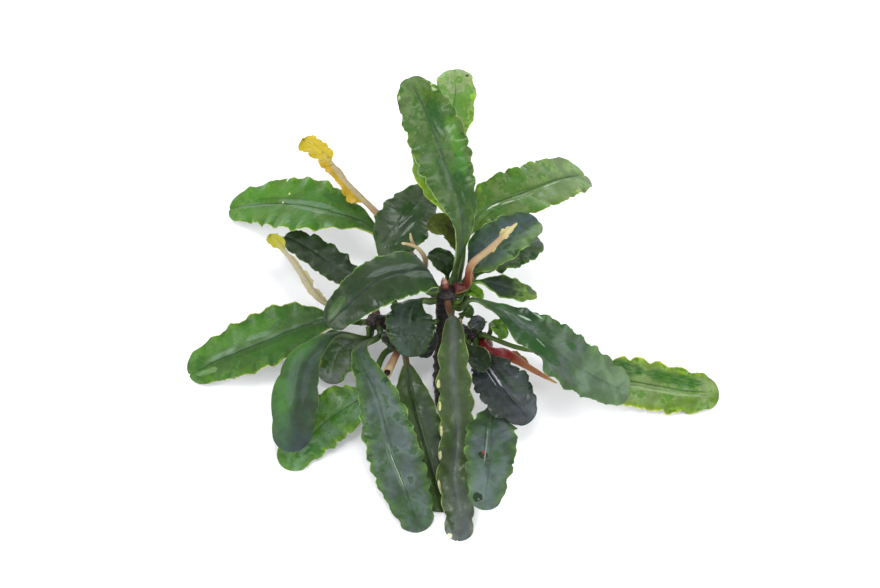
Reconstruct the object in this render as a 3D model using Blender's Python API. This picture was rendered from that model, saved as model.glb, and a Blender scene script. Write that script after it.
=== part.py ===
"""Bucephalandra, an aquarium plant, lying bare rooted as picked.

A creeping rhizome with its forks carries wavy leaves, old stalks that have lost their blades, and a
young bud. The origin is the middle of the flat underside of the rhizome, where it sat on its stone.
"""

import math
from dataclasses import dataclass

import bmesh
import bpy
import numpy as np

# Every length in the tables is in millimetres, and Blender works in metres.
MM = 0.001

# Routes are drawn as seen from this height over the horizon: across and up in the plane of that
# view, then the height over the ground. Across is +X, and up leans from +Y towards +Z.
VIEW_HEIGHT = math.radians(60)

# What touches the rhizome stops this far short of it.
JOINT_GAP = 0.4

# A stalk leaves the rhizome straight for this many times its radius.
ROOT_REACH = 1.5

# A blade lies level across the way from this share of the leaf's length to its tip.
HEADING_FROM = 0.3

# Shares of the blade's length: by the first it is flat and its waves are full, and from the second
# an arc rounds the tip.
BLADE_OPEN = 0.25
TIP_FROM = 0.6

# The tip's arc takes at most this share of the leaf's length, so a short leaf doesn't fold over.
TIP_ARC_LIMIT = 0.15

# The last share of the leaf's length, where its thickness runs out.
TIP_THINS = 0.02

BLADE_HALF_THICKNESS = 0.28

# How much the waves widen the margins, as a share of the half width.
SCALLOP = 0.09

# How round the fold is at the midrib, as a share of the half width squared.
FOLD_ROUND = 0.02

SPINE_STEPS = 240
RING_SIDES = 8
STEM_SIDES_RESOLUTION = 3
STEM_STEPS = 12
WELD = 0.01

# The block that cuts the rhizome's underside flat.
CUTTER_WIDTH = 40
CUTTER_HEIGHT = 20

LEAF_ROUGHNESS = 0.45
STEM_ROUGHNESS = 0.6

TONES = {
    "deep": (0.030, 0.085, 0.022),
    "bright": (0.085, 0.210, 0.030),
    "slate": (0.065, 0.105, 0.075),
    "olive": (0.095, 0.130, 0.030),
    "dusk": (0.040, 0.050, 0.048),
    "straw": (0.560, 0.470, 0.170),
    "tan": (0.470, 0.300, 0.150),
    "red": (0.180, 0.030, 0.022),
    "bark": (0.022, 0.015, 0.012),
}


@dataclass
class Stem:
    """A piece of the rhizome: its route, its radius at each point of the route, and its tone."""

    name: str
    route: tuple
    radii: tuple
    tone: str = "bark"


@dataclass
class Leaf:
    """A leaf or an old stalk: a round stalk that widens into a flat blade along one midrib.

    It grows from the stem at a share of that stem's length, towards the first point of its route.
    """

    name: str
    stem: str
    along: float
    route: tuple
    width: float
    stalk_share: float = 0.2
    stalk_radius: float = 0.8
    waves: int = 8
    ruffle: float = 0.55
    fold: float = 0.12
    widest: float = 0.42
    wedge: float = 1.5
    blunt: float = 0.62
    tone: str = "slate"


STEMS = (
    Stem(
        "rhizome_main",
        (
            (0, -3.25, 2.2), (0, 1.75, 2.0), (0, 8.25, 3.0),
            (0.5, 16.25, 8.5), (0.5, 22.75, 15), (1, 26.5, 21),
        ),
        (1.8, 2.4, 2.4, 2.3, 2.3, 2.4),
    ),
    Stem(
        "rhizome_left",
        ((-2.5, 15.75, 8.3), (-7.75, 16.75, 9), (-13.75, 18, 9.5), (-18.75, 18.5, 11.5)),
        (1.7, 1.8, 1.9, 2.1),
    ),
    Stem("rhizome_front", ((-10, 14, 7.6), (-9.5, 10.75, 7.5)), (1.4, 1.5)),
    Stem("rhizome_right", ((3.6, 16.75, 9.5), (6.75, 15.25, 9), (11, 13.5, 8)), (1.6, 1.7, 1.9)),
    Stem("rhizome_back", ((-1.5, 24.9, 13.5), (-5, 30, 13), (-10.25, 36.25, 13)), (1.5, 1.6, 1.9)),
    Stem(
        "crown_bud",
        ((0.5, 27.0, 21.7), (0.3, 28.2, 23.6), (0.1, 29.4, 25.4)),
        (0.9, 0.85, 0.4), "tan",
    ),
    Stem("cut_stalk", ((-11.3, 10.9, 8.7), (-12.3, 8.8, 8.6), (-14, 5.4, 7.8)), (0.9, 1.0, 1.2), "tan"),
    Stem("brown_stalk", ((4, 16.6, 12), (4.3, 17.6, 14), (4.4, 19, 16.8)), (0.6, 0.5, 0.35), "tan"),
    Stem(
        "forked_stub",
        ((-4.6, 32.0, 15.6), (-4.8, 34.8, 22.3), (-7.3, 37.2, 25.8), (-10.4, 37.8, 26.8)),
        (0.8, 0.6, 0.3), "tan",
    ),
)

LEAVES = (
    Leaf(
        "leaf_back_tall", "rhizome_main", 0.97,
        ((3.4, 33.25, 26), (5, 41.5, 32.5), (2, 53.25, 39.5), (-2.25, 65.5, 45), (-8.5, 79, 47)),
        width=14.5, stalk_share=0.15, waves=9, widest=0.62, blunt=0.7, wedge=1.6, tone="bright",
    ),
    Leaf(
        "leaf_back_behind", "rhizome_main", 0.83,
        (
            (4.9, 36, 21.7), (3.4, 44, 28.5), (-1.6, 56, 34.5), (0, 65.5, 37.5), (3, 74.5, 39),
            (2.5, 81.5, 38.5),
        ),
        width=12.3, waves=8, blunt=0.72, stalk_share=0.33, wedge=1.2, tone="bright",
    ),
    Leaf(
        "leaf_upper_right", "rhizome_main", 0.88,
        ((4.8, 37.6, 26.6), (10.5, 46.3, 29), (19.75, 50.5, 28), (28.75, 54, 23), (36, 55.5, 16.5)),
        width=14.5, stalk_share=0.25, waves=8, blunt=0.85, tone="bright",
    ),
    Leaf(
        "leaf_cupped_right", "rhizome_main", 0.93,
        ((8.2, 33, 25), (13, 36.8, 29), (18.3, 40.1, 30.5), (23.75, 43.25, 30)),
        width=12, stalk_share=0.22, waves=5, ruffle=0.35, fold=0.38, tone="deep",
    ),
    Leaf(
        "leaf_wavy_right", "rhizome_main", 0.77,
        ((9, 32.2, 20), (16.75, 36, 20), (24.5, 38.5, 17)),
        width=11, stalk_share=0.3, waves=5, tone="deep",
    ),
    Leaf(
        "leaf_thin_right", "rhizome_main", 0.9,
        ((7, 27.8, 21.6), (12.5, 27.75, 22.5), (17.5, 26.25, 21.5), (23.5, 25, 18)),
        width=6.5, stalk_share=0.35, stalk_radius=0.5, waves=4, ruffle=0.3, blunt=0.2, tone="deep",
    ),
    Leaf(
        "leaf_young_curled", "rhizome_main", 0.82,
        ((5.2, 25.5, 16.8), (7.4, 25.9, 17.3), (9.6, 23.6, 15.2)),
        width=3.6, stalk_share=0.3, stalk_radius=0.5, waves=3, ruffle=0.2, fold=0.4, tone="bright",
    ),
    Leaf(
        "leaf_big_right", "rhizome_main", 0.87,
        (
            (6.75, 23.75, 24), (12.25, 22, 26), (21.25, 16.5, 25), (31.25, 8.7, 19.5), (39.25, 4, 13.5),
            (46.25, 0.8, 8.5),
        ),
        width=14.5, stalk_share=0.2, stalk_radius=0.6, waves=9, blunt=0.7, widest=0.56, tone="slate",
    ),
    Leaf(
        "leaf_far_right", "rhizome_right", 0.77,
        (
            (16.9, 12.4, 11.0), (26.5, 10.4, 9.2), (36.75, 5.6, 5.5), (49.25, 2.5, 2),
            (59.25, 0.75, 0.9), (69, 0, 0.3),
        ),
        width=14, stalk_share=0.41, stalk_radius=0.6, waves=7, blunt=0.75, tone="bright",
    ),
    Leaf(
        "leaf_lower_right_dark", "rhizome_right", 0.7,
        ((11.25, 6.75, 13), (16, 0.5, 13.2), (22, -6, 10)),
        width=13.5, stalk_share=0.12, waves=4, widest=0.62, wedge=1.1, tone="dusk",
    ),
    Leaf(
        "leaf_lower_right", "rhizome_right", 0.5,
        (
            (11.2, 4.25, 4.8), (12.4, -4.25, 9.0), (11.7, -12.5, 13.7), (10.9, -20, 14.2),
            (9.8, -27.5, 11),
        ),
        width=12.6, stalk_share=0.36, waves=6, ruffle=0.4, tone="slate",
    ),
    Leaf(
        "leaf_front_centre", "rhizome_main", 0.93,
        (
            (2.25, 19.25, 21.5), (2.5, 8.75, 19.2), (3.1, -1.25, 12.6), (3.4, -11.25, 6),
            (2.75, -21.25, 2.6), (4, -29.25, 1), (3.5, -35.5, 0.15),
        ),
        width=8.6, stalk_share=0.1, waves=9, fold=0.14, widest=0.4, blunt=0.75, wedge=0.55,
        tone="olive",
    ),
    Leaf(
        "leaf_front_inner", "rhizome_front", 0.9,
        ((-8.5, 4.25, 8), (-7.25, -2.5, 7), (-5, -10.75, 4), (-2.5, -19.25, 1.3), (0, -28.5, 0.35)),
        width=11, stalk_share=0.15, waves=7, wedge=0.8, tone="deep",
    ),
    Leaf(
        "leaf_front_left", "rhizome_left", 0.84,
        (
            (-20, 12.25, 14.5), (-17.25, 2.5, 14), (-13.75, -8.75, 10), (-10, -20.5, 4.6),
            (-5.25, -33.25, 0.15),
        ),
        width=13.4, stalk_share=0.1, waves=10, widest=0.65, wedge=1.15, tone="slate",
    ),
    Leaf(
        "leaf_left_low", "rhizome_front", 0.6,
        ((-18.25, 1.5, 6), (-25, -3.5, 4.6), (-32, -9.25, 1.9), (-39.25, -18, 0.25)),
        width=13.5, stalk_share=0.25, waves=6, tone="bright",
    ),
    Leaf(
        "leaf_left_curved", "rhizome_left", 0.99,
        (
            (-25.25, 15.25, 14), (-30.5, 13, 15), (-34.5, 8.25, 13.5), (-36.5, 0, 10.5),
            (-37.25, -7.5, 8), (-37.25, -13.75, 6),
        ),
        width=11.6, stalk_share=0.2, waves=4, ruffle=0.12, fold=-0.1, widest=0.65, blunt=0.8,
        tone="slate",
    ),
    Leaf(
        "leaf_left_hanging", "rhizome_left", 0.91,
        ((-24, 12.5, 8.5), (-27, 8, 6), (-28, 2.75, 3)),
        width=11, stalk_share=0.2, waves=3, tone="dusk",
    ),
    Leaf(
        "leaf_left", "rhizome_left", 0.95,
        ((-27, 18.75, 12.5), (-35.75, 17, 12), (-47, 12.5, 7.4), (-55.75, 8.9, 3), (-63.75, 5, 0.1)),
        width=16, stalk_share=0.15, waves=8, tone="bright",
    ),
    Leaf(
        "leaf_centre_left", "rhizome_main", 0.96,
        (
            (-3.25, 30.25, 28), (-9.5, 30.5, 32), (-17, 27.75, 33.5), (-23.25, 23, 31.5),
            (-28.5, 17.75, 27.5),
        ),
        width=13.5, stalk_share=0.07, waves=7, ruffle=0.45, fold=-0.1, wedge=0.7, tone="slate",
    ),
    Leaf(
        "leaf_upper_left", "rhizome_back", 0.98,
        ((-17.75, 41.5, 17.5), (-27, 45.75, 17), (-38.25, 48, 10.2), (-47, 48, 3.8), (-54.7, 47, 0.1)),
        width=16, stalk_share=0.12, waves=8, widest=0.5, tone="bright",
    ),
    Leaf(
        "leaf_upper_left_small", "rhizome_left", 0.6,
        ((-22, 29, 13.5), (-30.25, 34.5, 14), (-40, 40, 10)),
        width=8.5, stalk_share=0.25, waves=6, tone="deep",
    ),
    Leaf(
        "leaf_upper_centre", "rhizome_back", 0.62,
        ((-14.0, 33.6, 18.7), (-11.6, 40, 21.3), (-7.3, 46.75, 22.6), (-3.6, 52.3, 22.1)),
        width=14.2, stalk_share=0.22, waves=6, blunt=0.5, tone="slate",
    ),
    Leaf(
        "leaf_olive_small", "rhizome_main", 0.74,
        ((4.1, 36.3, 19.9), (1.8, 42.0, 23.2), (-4.0, 42.2, 25.3)),
        width=6.5, stalk_share=0.5, stalk_radius=0.6, waves=3, ruffle=0.3, tone="olive",
    ),
    Leaf(
        "leaf_dark_small", "rhizome_main", 0.79,
        ((0.4, 32.9, 19.2), (-1.8, 34.9, 19.3), (-3.9, 35, 18.6)),
        width=5.8, stalk_share=0.45, stalk_radius=0.55, waves=3, ruffle=0.3, tone="deep",
    ),
    Leaf(
        "leaf_centre_lower", "rhizome_main", 0.88,
        ((-4.4, 23.6, 18), (-7.3, 21.75, 19.2), (-7.9, 15.75, 17.2), (-7.4, 9.6, 13.2)),
        width=12.3, stalk_share=0.2, waves=5, tone="deep",
    ),
    Leaf(
        "leaf_centre_back", "rhizome_main", 0.7,
        ((-3.6, 18.2, 13), (-4.5, 15, 12.3), (-4.75, 9.25, 8.3)),
        width=6.5, stalk_share=0.2, stalk_radius=0.6, waves=3, ruffle=0.3, tone="dusk",
    ),
    Leaf(
        "leaf_under_centre", "rhizome_left", 0.6,
        ((-13.2, 15.6, 12.6), (-12.4, 13.5, 13.0), (-11.6, 11.6, 12.6)),
        width=5, stalk_share=0.2, waves=3, ruffle=0.3, tone="olive",
    ),
    Leaf(
        "leaf_curl_middle", "rhizome_main", 0.7,
        ((5.4, 21, 14.2), (6.9, 19.4, 14.3)),
        width=4, stalk_share=0.3, stalk_radius=0.5, waves=3, ruffle=0.3, fold=0.4, tone="olive",
    ),
    Leaf(
        "leaf_curl_right", "rhizome_right", 0.98,
        ((12.0, 17.8, 12.8), (13.7, 17.2, 14.3), (15.0, 14.0, 12.0)),
        width=4, stalk_share=0.3, stalk_radius=0.5, waves=3, ruffle=0.3, fold=0.4, tone="bright",
    ),
    Leaf(
        "leaf_spoon", "rhizome_right", 0.35,
        ((7.75, 10.25, 13.5), (10.25, 6, 15.8)),
        width=6, stalk_share=0.3, stalk_radius=0.5, waves=3,
        ruffle=0.1, fold=0.4, blunt=0.8, tone="olive",
    ),
    Leaf(
        "leaf_grey_right", "rhizome_right", 0.65,
        ((8.7, 17.5, 12.6), (8.8, 19.8, 14.8)),
        width=4.8, stalk_share=0.1, stalk_radius=0.5, waves=3, ruffle=0.3, tone="dusk",
    ),
)

STALKS = (
    Leaf(
        "old_stalk_upper_left", "rhizome_back", 0.82,
        ((-18.75, 47.7, 19), (-24.6, 53.6, 21), (-30, 60.2, 21), (-35.2, 64.2, 20.5)),
        width=5.5, stalk_share=0.3, stalk_radius=1.2, waves=5, ruffle=0.3, fold=0.3, blunt=0.9,
        tone="straw",
    ),
    Leaf(
        "old_stalk_left", "rhizome_left", 0.84,
        ((-28.5, 22.75, 15), (-34.75, 29.3, 17.5), (-43.2, 40, 18.3)),
        width=3.5, stalk_share=0.3, stalk_radius=1.0, waves=4, ruffle=0.2, fold=0.3, tone="straw",
    ),
    Leaf(
        "old_stalk_right", "rhizome_main", 0.985,
        ((6.8, 32.1, 28.6), (11, 35.9, 32.6), (14.6, 39.3, 35.4), (18.3, 42.75, 38)),
        width=2.2, stalk_share=0.3, stalk_radius=1.05, waves=4, ruffle=0.2, fold=0.3, tone="straw",
    ),
    Leaf(
        "old_stalk_lower_right", "rhizome_right", 0.98,
        ((12.5, 10.3, 9.9), (14.8, 10.4, 8.0), (17.5, 9.3, 6.8), (21.75, 6.75, 4.8), (28.5, 2.9, 1.6)),
        width=2.2, stalk_share=0.4, stalk_radius=1.15, waves=3, ruffle=0.0, fold=0.0, blunt=0.2,
        tone="red",
    ),
)


def to_plant(route):
    """Turns points of a route (across, up, height) into x, y, z over the ground."""
    across, up, height = np.array(route, float).T
    depth = (up - height * math.cos(VIEW_HEIGHT)) / math.sin(VIEW_HEIGHT)
    return np.stack([across, depth, height], axis=1)


def smooth_curve(points, steps):
    """A natural cubic spline through the points, read at equal steps of its length."""
    points = np.array(points, float)
    knots = np.concatenate([[0], np.cumsum(np.linalg.norm(np.diff(points, axis=0), axis=1))])
    count = len(knots)
    gaps = np.diff(knots)
    system = np.eye(count)
    target = np.zeros((count, 3))
    for i in range(1, count - 1):
        system[i, i - 1 : i + 2] = gaps[i - 1], 2 * (gaps[i - 1] + gaps[i]), gaps[i]
        slope = np.diff(points[i - 1 : i + 2], axis=0) / gaps[i - 1 : i + 1, None]
        target[i] = 6 * (slope[1] - slope[0])
    bend = np.linalg.solve(system, target)
    where = np.linspace(0, knots[-1], 8 * steps)
    span = np.clip(np.searchsorted(knots, where, side="right") - 1, 0, count - 2)
    gap = gaps[span][:, None]
    before = (where - knots[span])[:, None]
    after = gap - before
    curve = (
        (bend[span] * after**3 + bend[span + 1] * before**3) / (6 * gap)
        + (points[span] / gap - bend[span] * gap / 6) * after
        + (points[span + 1] / gap - bend[span + 1] * gap / 6) * before
    )
    length = np.concatenate([[0], np.cumsum(np.linalg.norm(np.diff(curve, axis=0), axis=1))])
    even = np.linspace(0, length[-1], steps)
    return np.stack([np.interp(even, length, curve[:, k]) for k in range(3)], axis=1), length[-1]


def unit(vectors):
    return vectors / np.linalg.norm(vectors, axis=-1, keepdims=True)


def smoothstep(value):
    value = np.clip(value, 0, 1)
    return value * value * (3 - 2 * value)


def start_on_stem(stem, along, towards, reach):
    """Two points straight out from the stem's side that faces the point towards, reach apart."""
    line, _ = smooth_curve(to_plant(stem.route), SPINE_STEPS)
    index = round(along * (SPINE_STEPS - 1))
    direction = unit(np.gradient(line, axis=0))[index]
    radius = np.interp(along, np.linspace(0, 1, len(stem.radii)), stem.radii)
    out = towards - line[index]
    out = unit(out - direction * (out @ direction))
    root = line[index] + out * (radius + JOINT_GAP)
    return root, root + out * reach


def leaf_spine(leaf, stems):
    """The midrib, its length, the way across the blade and the way out of its upper face."""
    route = to_plant(leaf.route)
    root = start_on_stem(stems[leaf.stem], leaf.along, route[0], ROOT_REACH * leaf.stalk_radius)
    line, length = smooth_curve(np.vstack([*root, route]), SPINE_STEPS)
    forward = unit(np.gradient(line, axis=0))
    heading = line[-1] - line[round(HEADING_FROM * SPINE_STEPS)]
    sideways = unit(np.array([heading[1], -heading[0], 0.0]))
    across = unit(sideways - forward * (forward @ sideways)[:, None])
    return line, length, across, np.cross(across, forward)


def leaf_points(leaf, stems, share, across, over):
    """Points of the leaf's skin at a share of its length, across from -1 to 1 and over from -1 to 1.

    The half width grows from the stalk's radius along a sine, is widest at that share of the blade,
    and narrows along a parabola to the blunt tip, which an arc rounds off. Waves along the margins
    lift and widen it with the cube of the distance from the midrib, and the fold lifts both halves.
    """
    line, length, sideways, upper = leaf_spine(leaf, stems)
    blade = np.clip((share - leaf.stalk_share) / (1 - leaf.stalk_share), 0, 1)
    grown = np.sin(np.clip(blade / leaf.widest, 0, 1) * math.pi / 2) ** leaf.wedge
    narrowed = 1 - (1 - leaf.blunt) * np.clip((blade - leaf.widest) / (1 - leaf.widest), 0, 1) ** 2
    half = leaf.stalk_radius + (leaf.width / 2 - leaf.stalk_radius) * grown * narrowed
    arc = smoothstep((blade - TIP_FROM) / (1 - TIP_FROM)) * (1 - np.sqrt(1 - across**2))
    place = share - arc * min(leaf.blunt * leaf.width / 2 / length, TIP_ARC_LIMIT)
    beat = (place - leaf.stalk_share) / (1 - leaf.stalk_share)
    flat = smoothstep(blade / BLADE_OPEN)
    wave = flat * np.abs(across) ** 3 * np.sin(2 * math.pi * leaf.waves * beat)
    folded = half * (np.sqrt(across**2 + FOLD_ROUND) - math.sqrt(FOLD_ROUND))
    lift = leaf.ruffle * wave + leaf.fold * folded
    thick = leaf.stalk_radius * (1 - flat) + BLADE_HALF_THICKNESS * flat
    thick = thick * np.sqrt(np.clip((1 - share) / TIP_THINS, 0, 1))
    index = np.clip(place, 0, 1) * (SPINE_STEPS - 1)
    steps = np.arange(SPINE_STEPS)

    def read(table):
        return np.stack([np.interp(index, steps, table[:, k]) for k in range(3)], axis=-1)

    out = (across * half * (1 + SCALLOP * wave))[..., None]
    return read(line) + read(sideways) * out + read(upper) * (lift + over * thick)[..., None]


def coloured(name, tone, roughness):
    material = bpy.data.materials.new(f"{name} surface")
    material.use_nodes = True
    shader = material.node_tree.nodes["Principled BSDF"]
    shader.inputs["Base Color"].default_value = (*TONES[tone], 1)
    shader.inputs["Roughness"].default_value = roughness
    shader.inputs["Metallic"].default_value = 0
    return material


def add_object(name, mesh, collection, tone, roughness):
    mesh.shade_smooth()
    mesh.materials.append(coloured(name, tone, roughness))
    piece = bpy.data.objects.new(name, mesh)
    collection.objects.link(piece)
    return piece


def make_leaf(leaf, stems, collection):
    """Lofts the leaf from its round stalk to its flat blade, with a ring on each crest and trough.

    The upper and the lower face are split along the same diagonals, each from the side nearer the
    midrib, so the thin blade keeps its thickness where its waves twist it.
    """
    crests = (np.arange(2 * leaf.waves) + 0.5) / (2 * leaf.waves)
    stations = np.concatenate(
        [[0, leaf.stalk_share * 0.5], leaf.stalk_share + crests * (1 - leaf.stalk_share), [1]]
    )
    turn = np.arange(RING_SIDES) * 2 * math.pi / RING_SIDES
    share = stations[:, None] + 0 * turn
    across = -np.cos(turn) + 0 * share
    over = np.sin(turn) + 0 * share
    points = leaf_points(leaf, stems, share, across, over) * MM
    mesh = bpy.data.meshes.new(leaf.name)
    form = bmesh.new()
    rings = [[form.verts.new(point) for point in ring] for ring in points]
    for ring, following in zip(rings, rings[1:]):
        for k in range(RING_SIDES):
            after = (k + 1) % RING_SIDES
            if k % (RING_SIDES // 2) < RING_SIDES // 4:
                form.faces.new((ring[k], ring[after], following[k]))
                form.faces.new((ring[after], following[after], following[k]))
            else:
                form.faces.new((ring[k], ring[after], following[after]))
                form.faces.new((ring[k], following[after], following[k]))
    form.faces.new(rings[0][::-1])
    bmesh.ops.remove_doubles(form, verts=rings[-1], dist=WELD * MM)
    form.to_mesh(mesh)
    form.free()
    return add_object(leaf.name, mesh, collection, leaf.tone, LEAF_ROUGHNESS)


def make_stem(stem, collection):
    """A tube along the stem's route, thick and thin as its radii say, welded into one mesh."""
    line, _ = smooth_curve(to_plant(stem.route), STEM_STEPS)
    data = bpy.data.curves.new(stem.name, "CURVE")
    data.dimensions = "3D"
    data.bevel_depth = MM
    data.bevel_resolution = STEM_SIDES_RESOLUTION
    data.use_fill_caps = True
    spline = data.splines.new("POLY")
    spline.points.add(len(line) - 1)
    radii = np.interp(np.linspace(0, 1, len(line)), np.linspace(0, 1, len(stem.radii)), stem.radii)
    for point, place, radius in zip(spline.points, line * MM, radii):
        point.co = (*place, 1)
        point.radius = radius
    curve = bpy.data.objects.new(stem.name, data)
    collection.objects.link(curve)
    bpy.context.view_layer.update()
    mesh = bpy.data.meshes.new_from_object(curve.evaluated_get(bpy.context.evaluated_depsgraph_get()))
    bpy.data.objects.remove(curve)
    form = bmesh.new()
    form.from_mesh(mesh)
    bmesh.ops.remove_doubles(form, verts=form.verts, dist=WELD * MM)
    form.to_mesh(mesh)
    form.free()
    mesh.name = stem.name
    return add_object(stem.name, mesh, collection, stem.tone, STEM_ROUGHNESS)


def cut_flat(piece, cutters):
    """Takes off what lies under the ground plane, so the piece rests on a flat face."""
    bpy.ops.mesh.primitive_cube_add(size=1, location=(0, 0, -CUTTER_HEIGHT / 2 * MM))
    block = bpy.context.object
    block.name = "ground_cutter"
    block.scale = (CUTTER_WIDTH * MM, CUTTER_WIDTH * MM, CUTTER_HEIGHT * MM)
    block.hide_render = True
    block.display_type = "WIRE"
    for collection in list(block.users_collection):
        collection.objects.unlink(block)
    cutters.objects.link(block)
    cut = piece.modifiers.new("flat underside", "BOOLEAN")
    cut.operation = "DIFFERENCE"
    cut.solver = "EXACT"
    cut.object = block


def main():
    for existing in list(bpy.data.objects):
        bpy.data.objects.remove(existing)
    plant = bpy.data.collections.new("bucephalandra")
    cutters = bpy.data.collections.new("cutters")
    bpy.context.scene.collection.children.link(plant)
    bpy.context.scene.collection.children.link(cutters)
    stems = {stem.name: stem for stem in STEMS}
    for stem in STEMS:
        piece = make_stem(stem, plant)
        if stem.name == "rhizome_main":
            cut_flat(piece, cutters)
    for leaf in LEAVES + STALKS:
        make_leaf(leaf, stems, plant)


if __name__ == "__main__":
    main()
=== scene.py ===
"""Bucephalandra: the looks of a small aquarium plant with wavy leaves, bare rooted on a pale floor."""

import math
from dataclasses import dataclass, fields

import bpy
import numpy as np
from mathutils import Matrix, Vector


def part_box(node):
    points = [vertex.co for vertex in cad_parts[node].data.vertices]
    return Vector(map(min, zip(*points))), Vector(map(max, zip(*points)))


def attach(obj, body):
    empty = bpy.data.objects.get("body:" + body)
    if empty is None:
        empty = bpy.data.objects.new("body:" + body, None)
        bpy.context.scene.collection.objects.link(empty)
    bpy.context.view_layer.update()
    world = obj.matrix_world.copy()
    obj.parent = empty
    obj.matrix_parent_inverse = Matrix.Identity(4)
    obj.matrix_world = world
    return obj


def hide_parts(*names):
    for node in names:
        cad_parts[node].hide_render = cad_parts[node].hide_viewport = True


bl_info = {
    "name": "Bucephalandra",
    "version": (1, 0, 0),
    "blender": (4, 5, 0),
    "location": "View3D > Sidebar > Plant",
    "description": "Grows the plant's rhizome, leaves and old stalks, and sets its stage",
    "category": "Object",
}

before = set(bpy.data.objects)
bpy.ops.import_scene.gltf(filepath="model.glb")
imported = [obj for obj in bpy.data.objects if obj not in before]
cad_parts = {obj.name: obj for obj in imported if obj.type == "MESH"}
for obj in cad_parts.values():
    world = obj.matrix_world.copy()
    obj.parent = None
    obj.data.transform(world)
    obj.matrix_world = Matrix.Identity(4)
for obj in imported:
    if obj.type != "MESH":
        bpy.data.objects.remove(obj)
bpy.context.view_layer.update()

# Lengths are in millimetres where nothing says metres, and Blender works in metres.
MM = 0.001

# Routes are drawn as seen from this height over the horizon: across and up in the plane of that
# view, then the height over the ground. Across is +X, and up leans from +Y towards +Z.
VIEW_HEIGHT = math.radians(60)

# How a leaf leaves its stem: the gap, a straight start of so many stalk radii, the part of its
# line that gives the way it heads, a foot that is thicker by a share over a distance, and how far
# its skin goes on behind its root.
JOINT_GAP = 0.4
ROOT_REACH = 1.5
HEADING_FROM = 0.3
FOOT_SWELL = 0.35
FOOT_REACH = 1.5
SHEATH_DEPTH = 1.0

# Shares of the blade where it has opened from the stalk and where its tip begins to round off, the
# most that the tip's arc takes, the share over which the tip thins, and how round the fold is.
BLADE_OPEN = 0.25
TIP_FROM = 0.6
TIP_ARC_LIMIT = 0.15
TIP_THINS = 0.02
FOLD_ROUND = 0.02

# The margins' waves grow with a power of the distance from the midrib. Their height wanders by a
# share and their beat by an angle, and a quicker wave of a small height rides on them. The lobes
# are a power of a sine's size about its mean, and the rim is ragged by a share. A roll draws the
# margin in.
RIM_POWER = 2.6
SWELL, SWELL_BEAT = 0.45, 2.3
SLIP, SLIP_BEAT = 1.1, 1.4
QUICK_WAVE, QUICK_BEAT = 0.22, 2.3
LOBE_POWER, LOBE_MEAN = 0.7, 0.7
RAG, RAG_BEAT = 0.08, 0.9
ROLL_IN = 0.25

# The slow swells of a blade: how often they come along it, and how far they slant to the margins.
UNDULATION_BEAT = 2.1
UNDULATION_SLANT = 0.35

# Widths of what runs along a blade, the depth of a usual groove in metres, and the shares of the
# leaf over which a crease ends and the keel fades at the tip.
GROOVE_WIDTH = 0.42
USUAL_GROOVE = 0.00025
CREASE_WIDTH = 0.3
CREASE_ENDS = 0.1
KEEL_WIDTH = 0.55
KEEL_FADE = 0.12

# Half the thickness of what remains of an old stalk's blade, and how far out it is thinner.
SHEET = 0.16
SHEET_FADE = 0.3

# The lumps of an old stalk's rod, as a share of its radius and in millimetres along it, and how
# softly a flap ends and how often its rim wanders, along the stalk.
ROD_LUMPS = 0.06
ROD_LUMP_LENGTH = 7
FLAP_ENDS = 0.045
FLAP_RAG_BEAT = 11

# The rhizome: how sharp its leaf scars are, the level that they stand over, how steeply the bark
# rounds off at each end, and how far below their solids its side parts are cut.
SCAR_POWER = 6
SCAR_MEAN = 0.4
END_DOME = 1.6
BARK_BELOW = 0.3

# The mesh's lanes over each face of a leaf, crowded at the midrib and the margins by a power, and
# its stations along a leaf, a small leaf and the line of a leaf or stem. Bark has its stations by
# the millimetre.
LEAF_LANES = 28
LANE_CROWD = 1.6
LEAF_STATIONS = 130
SMALL_LEAF_STATIONS = 70
SMALL_LEAF = 26
SPINE_STEPS = 240
STEM_TURNS = 48
BARK_STATIONS = 6
FEWEST_BARK_STATIONS = 24

BLACK = (0.0, 0.0, 0.0, 1.0)


@dataclass
class Stem:
    """A piece of the rhizome or a bare stalk: its route and its radius at each point of the route."""

    name: str
    route: tuple
    radii: tuple


@dataclass
class Leaf:
    """A leaf, with the numbers of its blade and the details of its margins.

    It leaves its stem at the share along. notches are (share, side, depth, reach), creases are
    (across, from, to, depth) and rolls are (side, from, to, lift); shares run along the leaf, and
    across and side run from -1 to 1.
    """

    name: str
    stem: str
    along: float
    route: tuple
    width: float
    stalk_share: float = 0.2
    stalk_radius: float = 0.8
    waves: int = 8
    ruffle: float = 0.55
    fold: float = 0.12
    widest: float = 0.42
    wedge: float = 1.5
    blunt: float = 0.62
    seed: int = 1
    ragged: float = 0.6
    groove: float = 0.22
    scallop: float = 0.12
    lobes: float = 1.0
    notches: tuple = ()
    creases: tuple = ()
    rolls: tuple = ()


@dataclass
class OldStalk:
    """An old stalk: the radii of its rod at equal steps, and the rest of its blade beside it.

    flaps are (from, to, side, millimetres out). fold and waves give how far and how often they
    turn up.
    """

    name: str
    stem: str
    along: float
    route: tuple
    stalk_radius: float
    rod: tuple
    flaps: tuple
    waves: int
    fold: float
    seed: int
    ragged: float = 0.3


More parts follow.
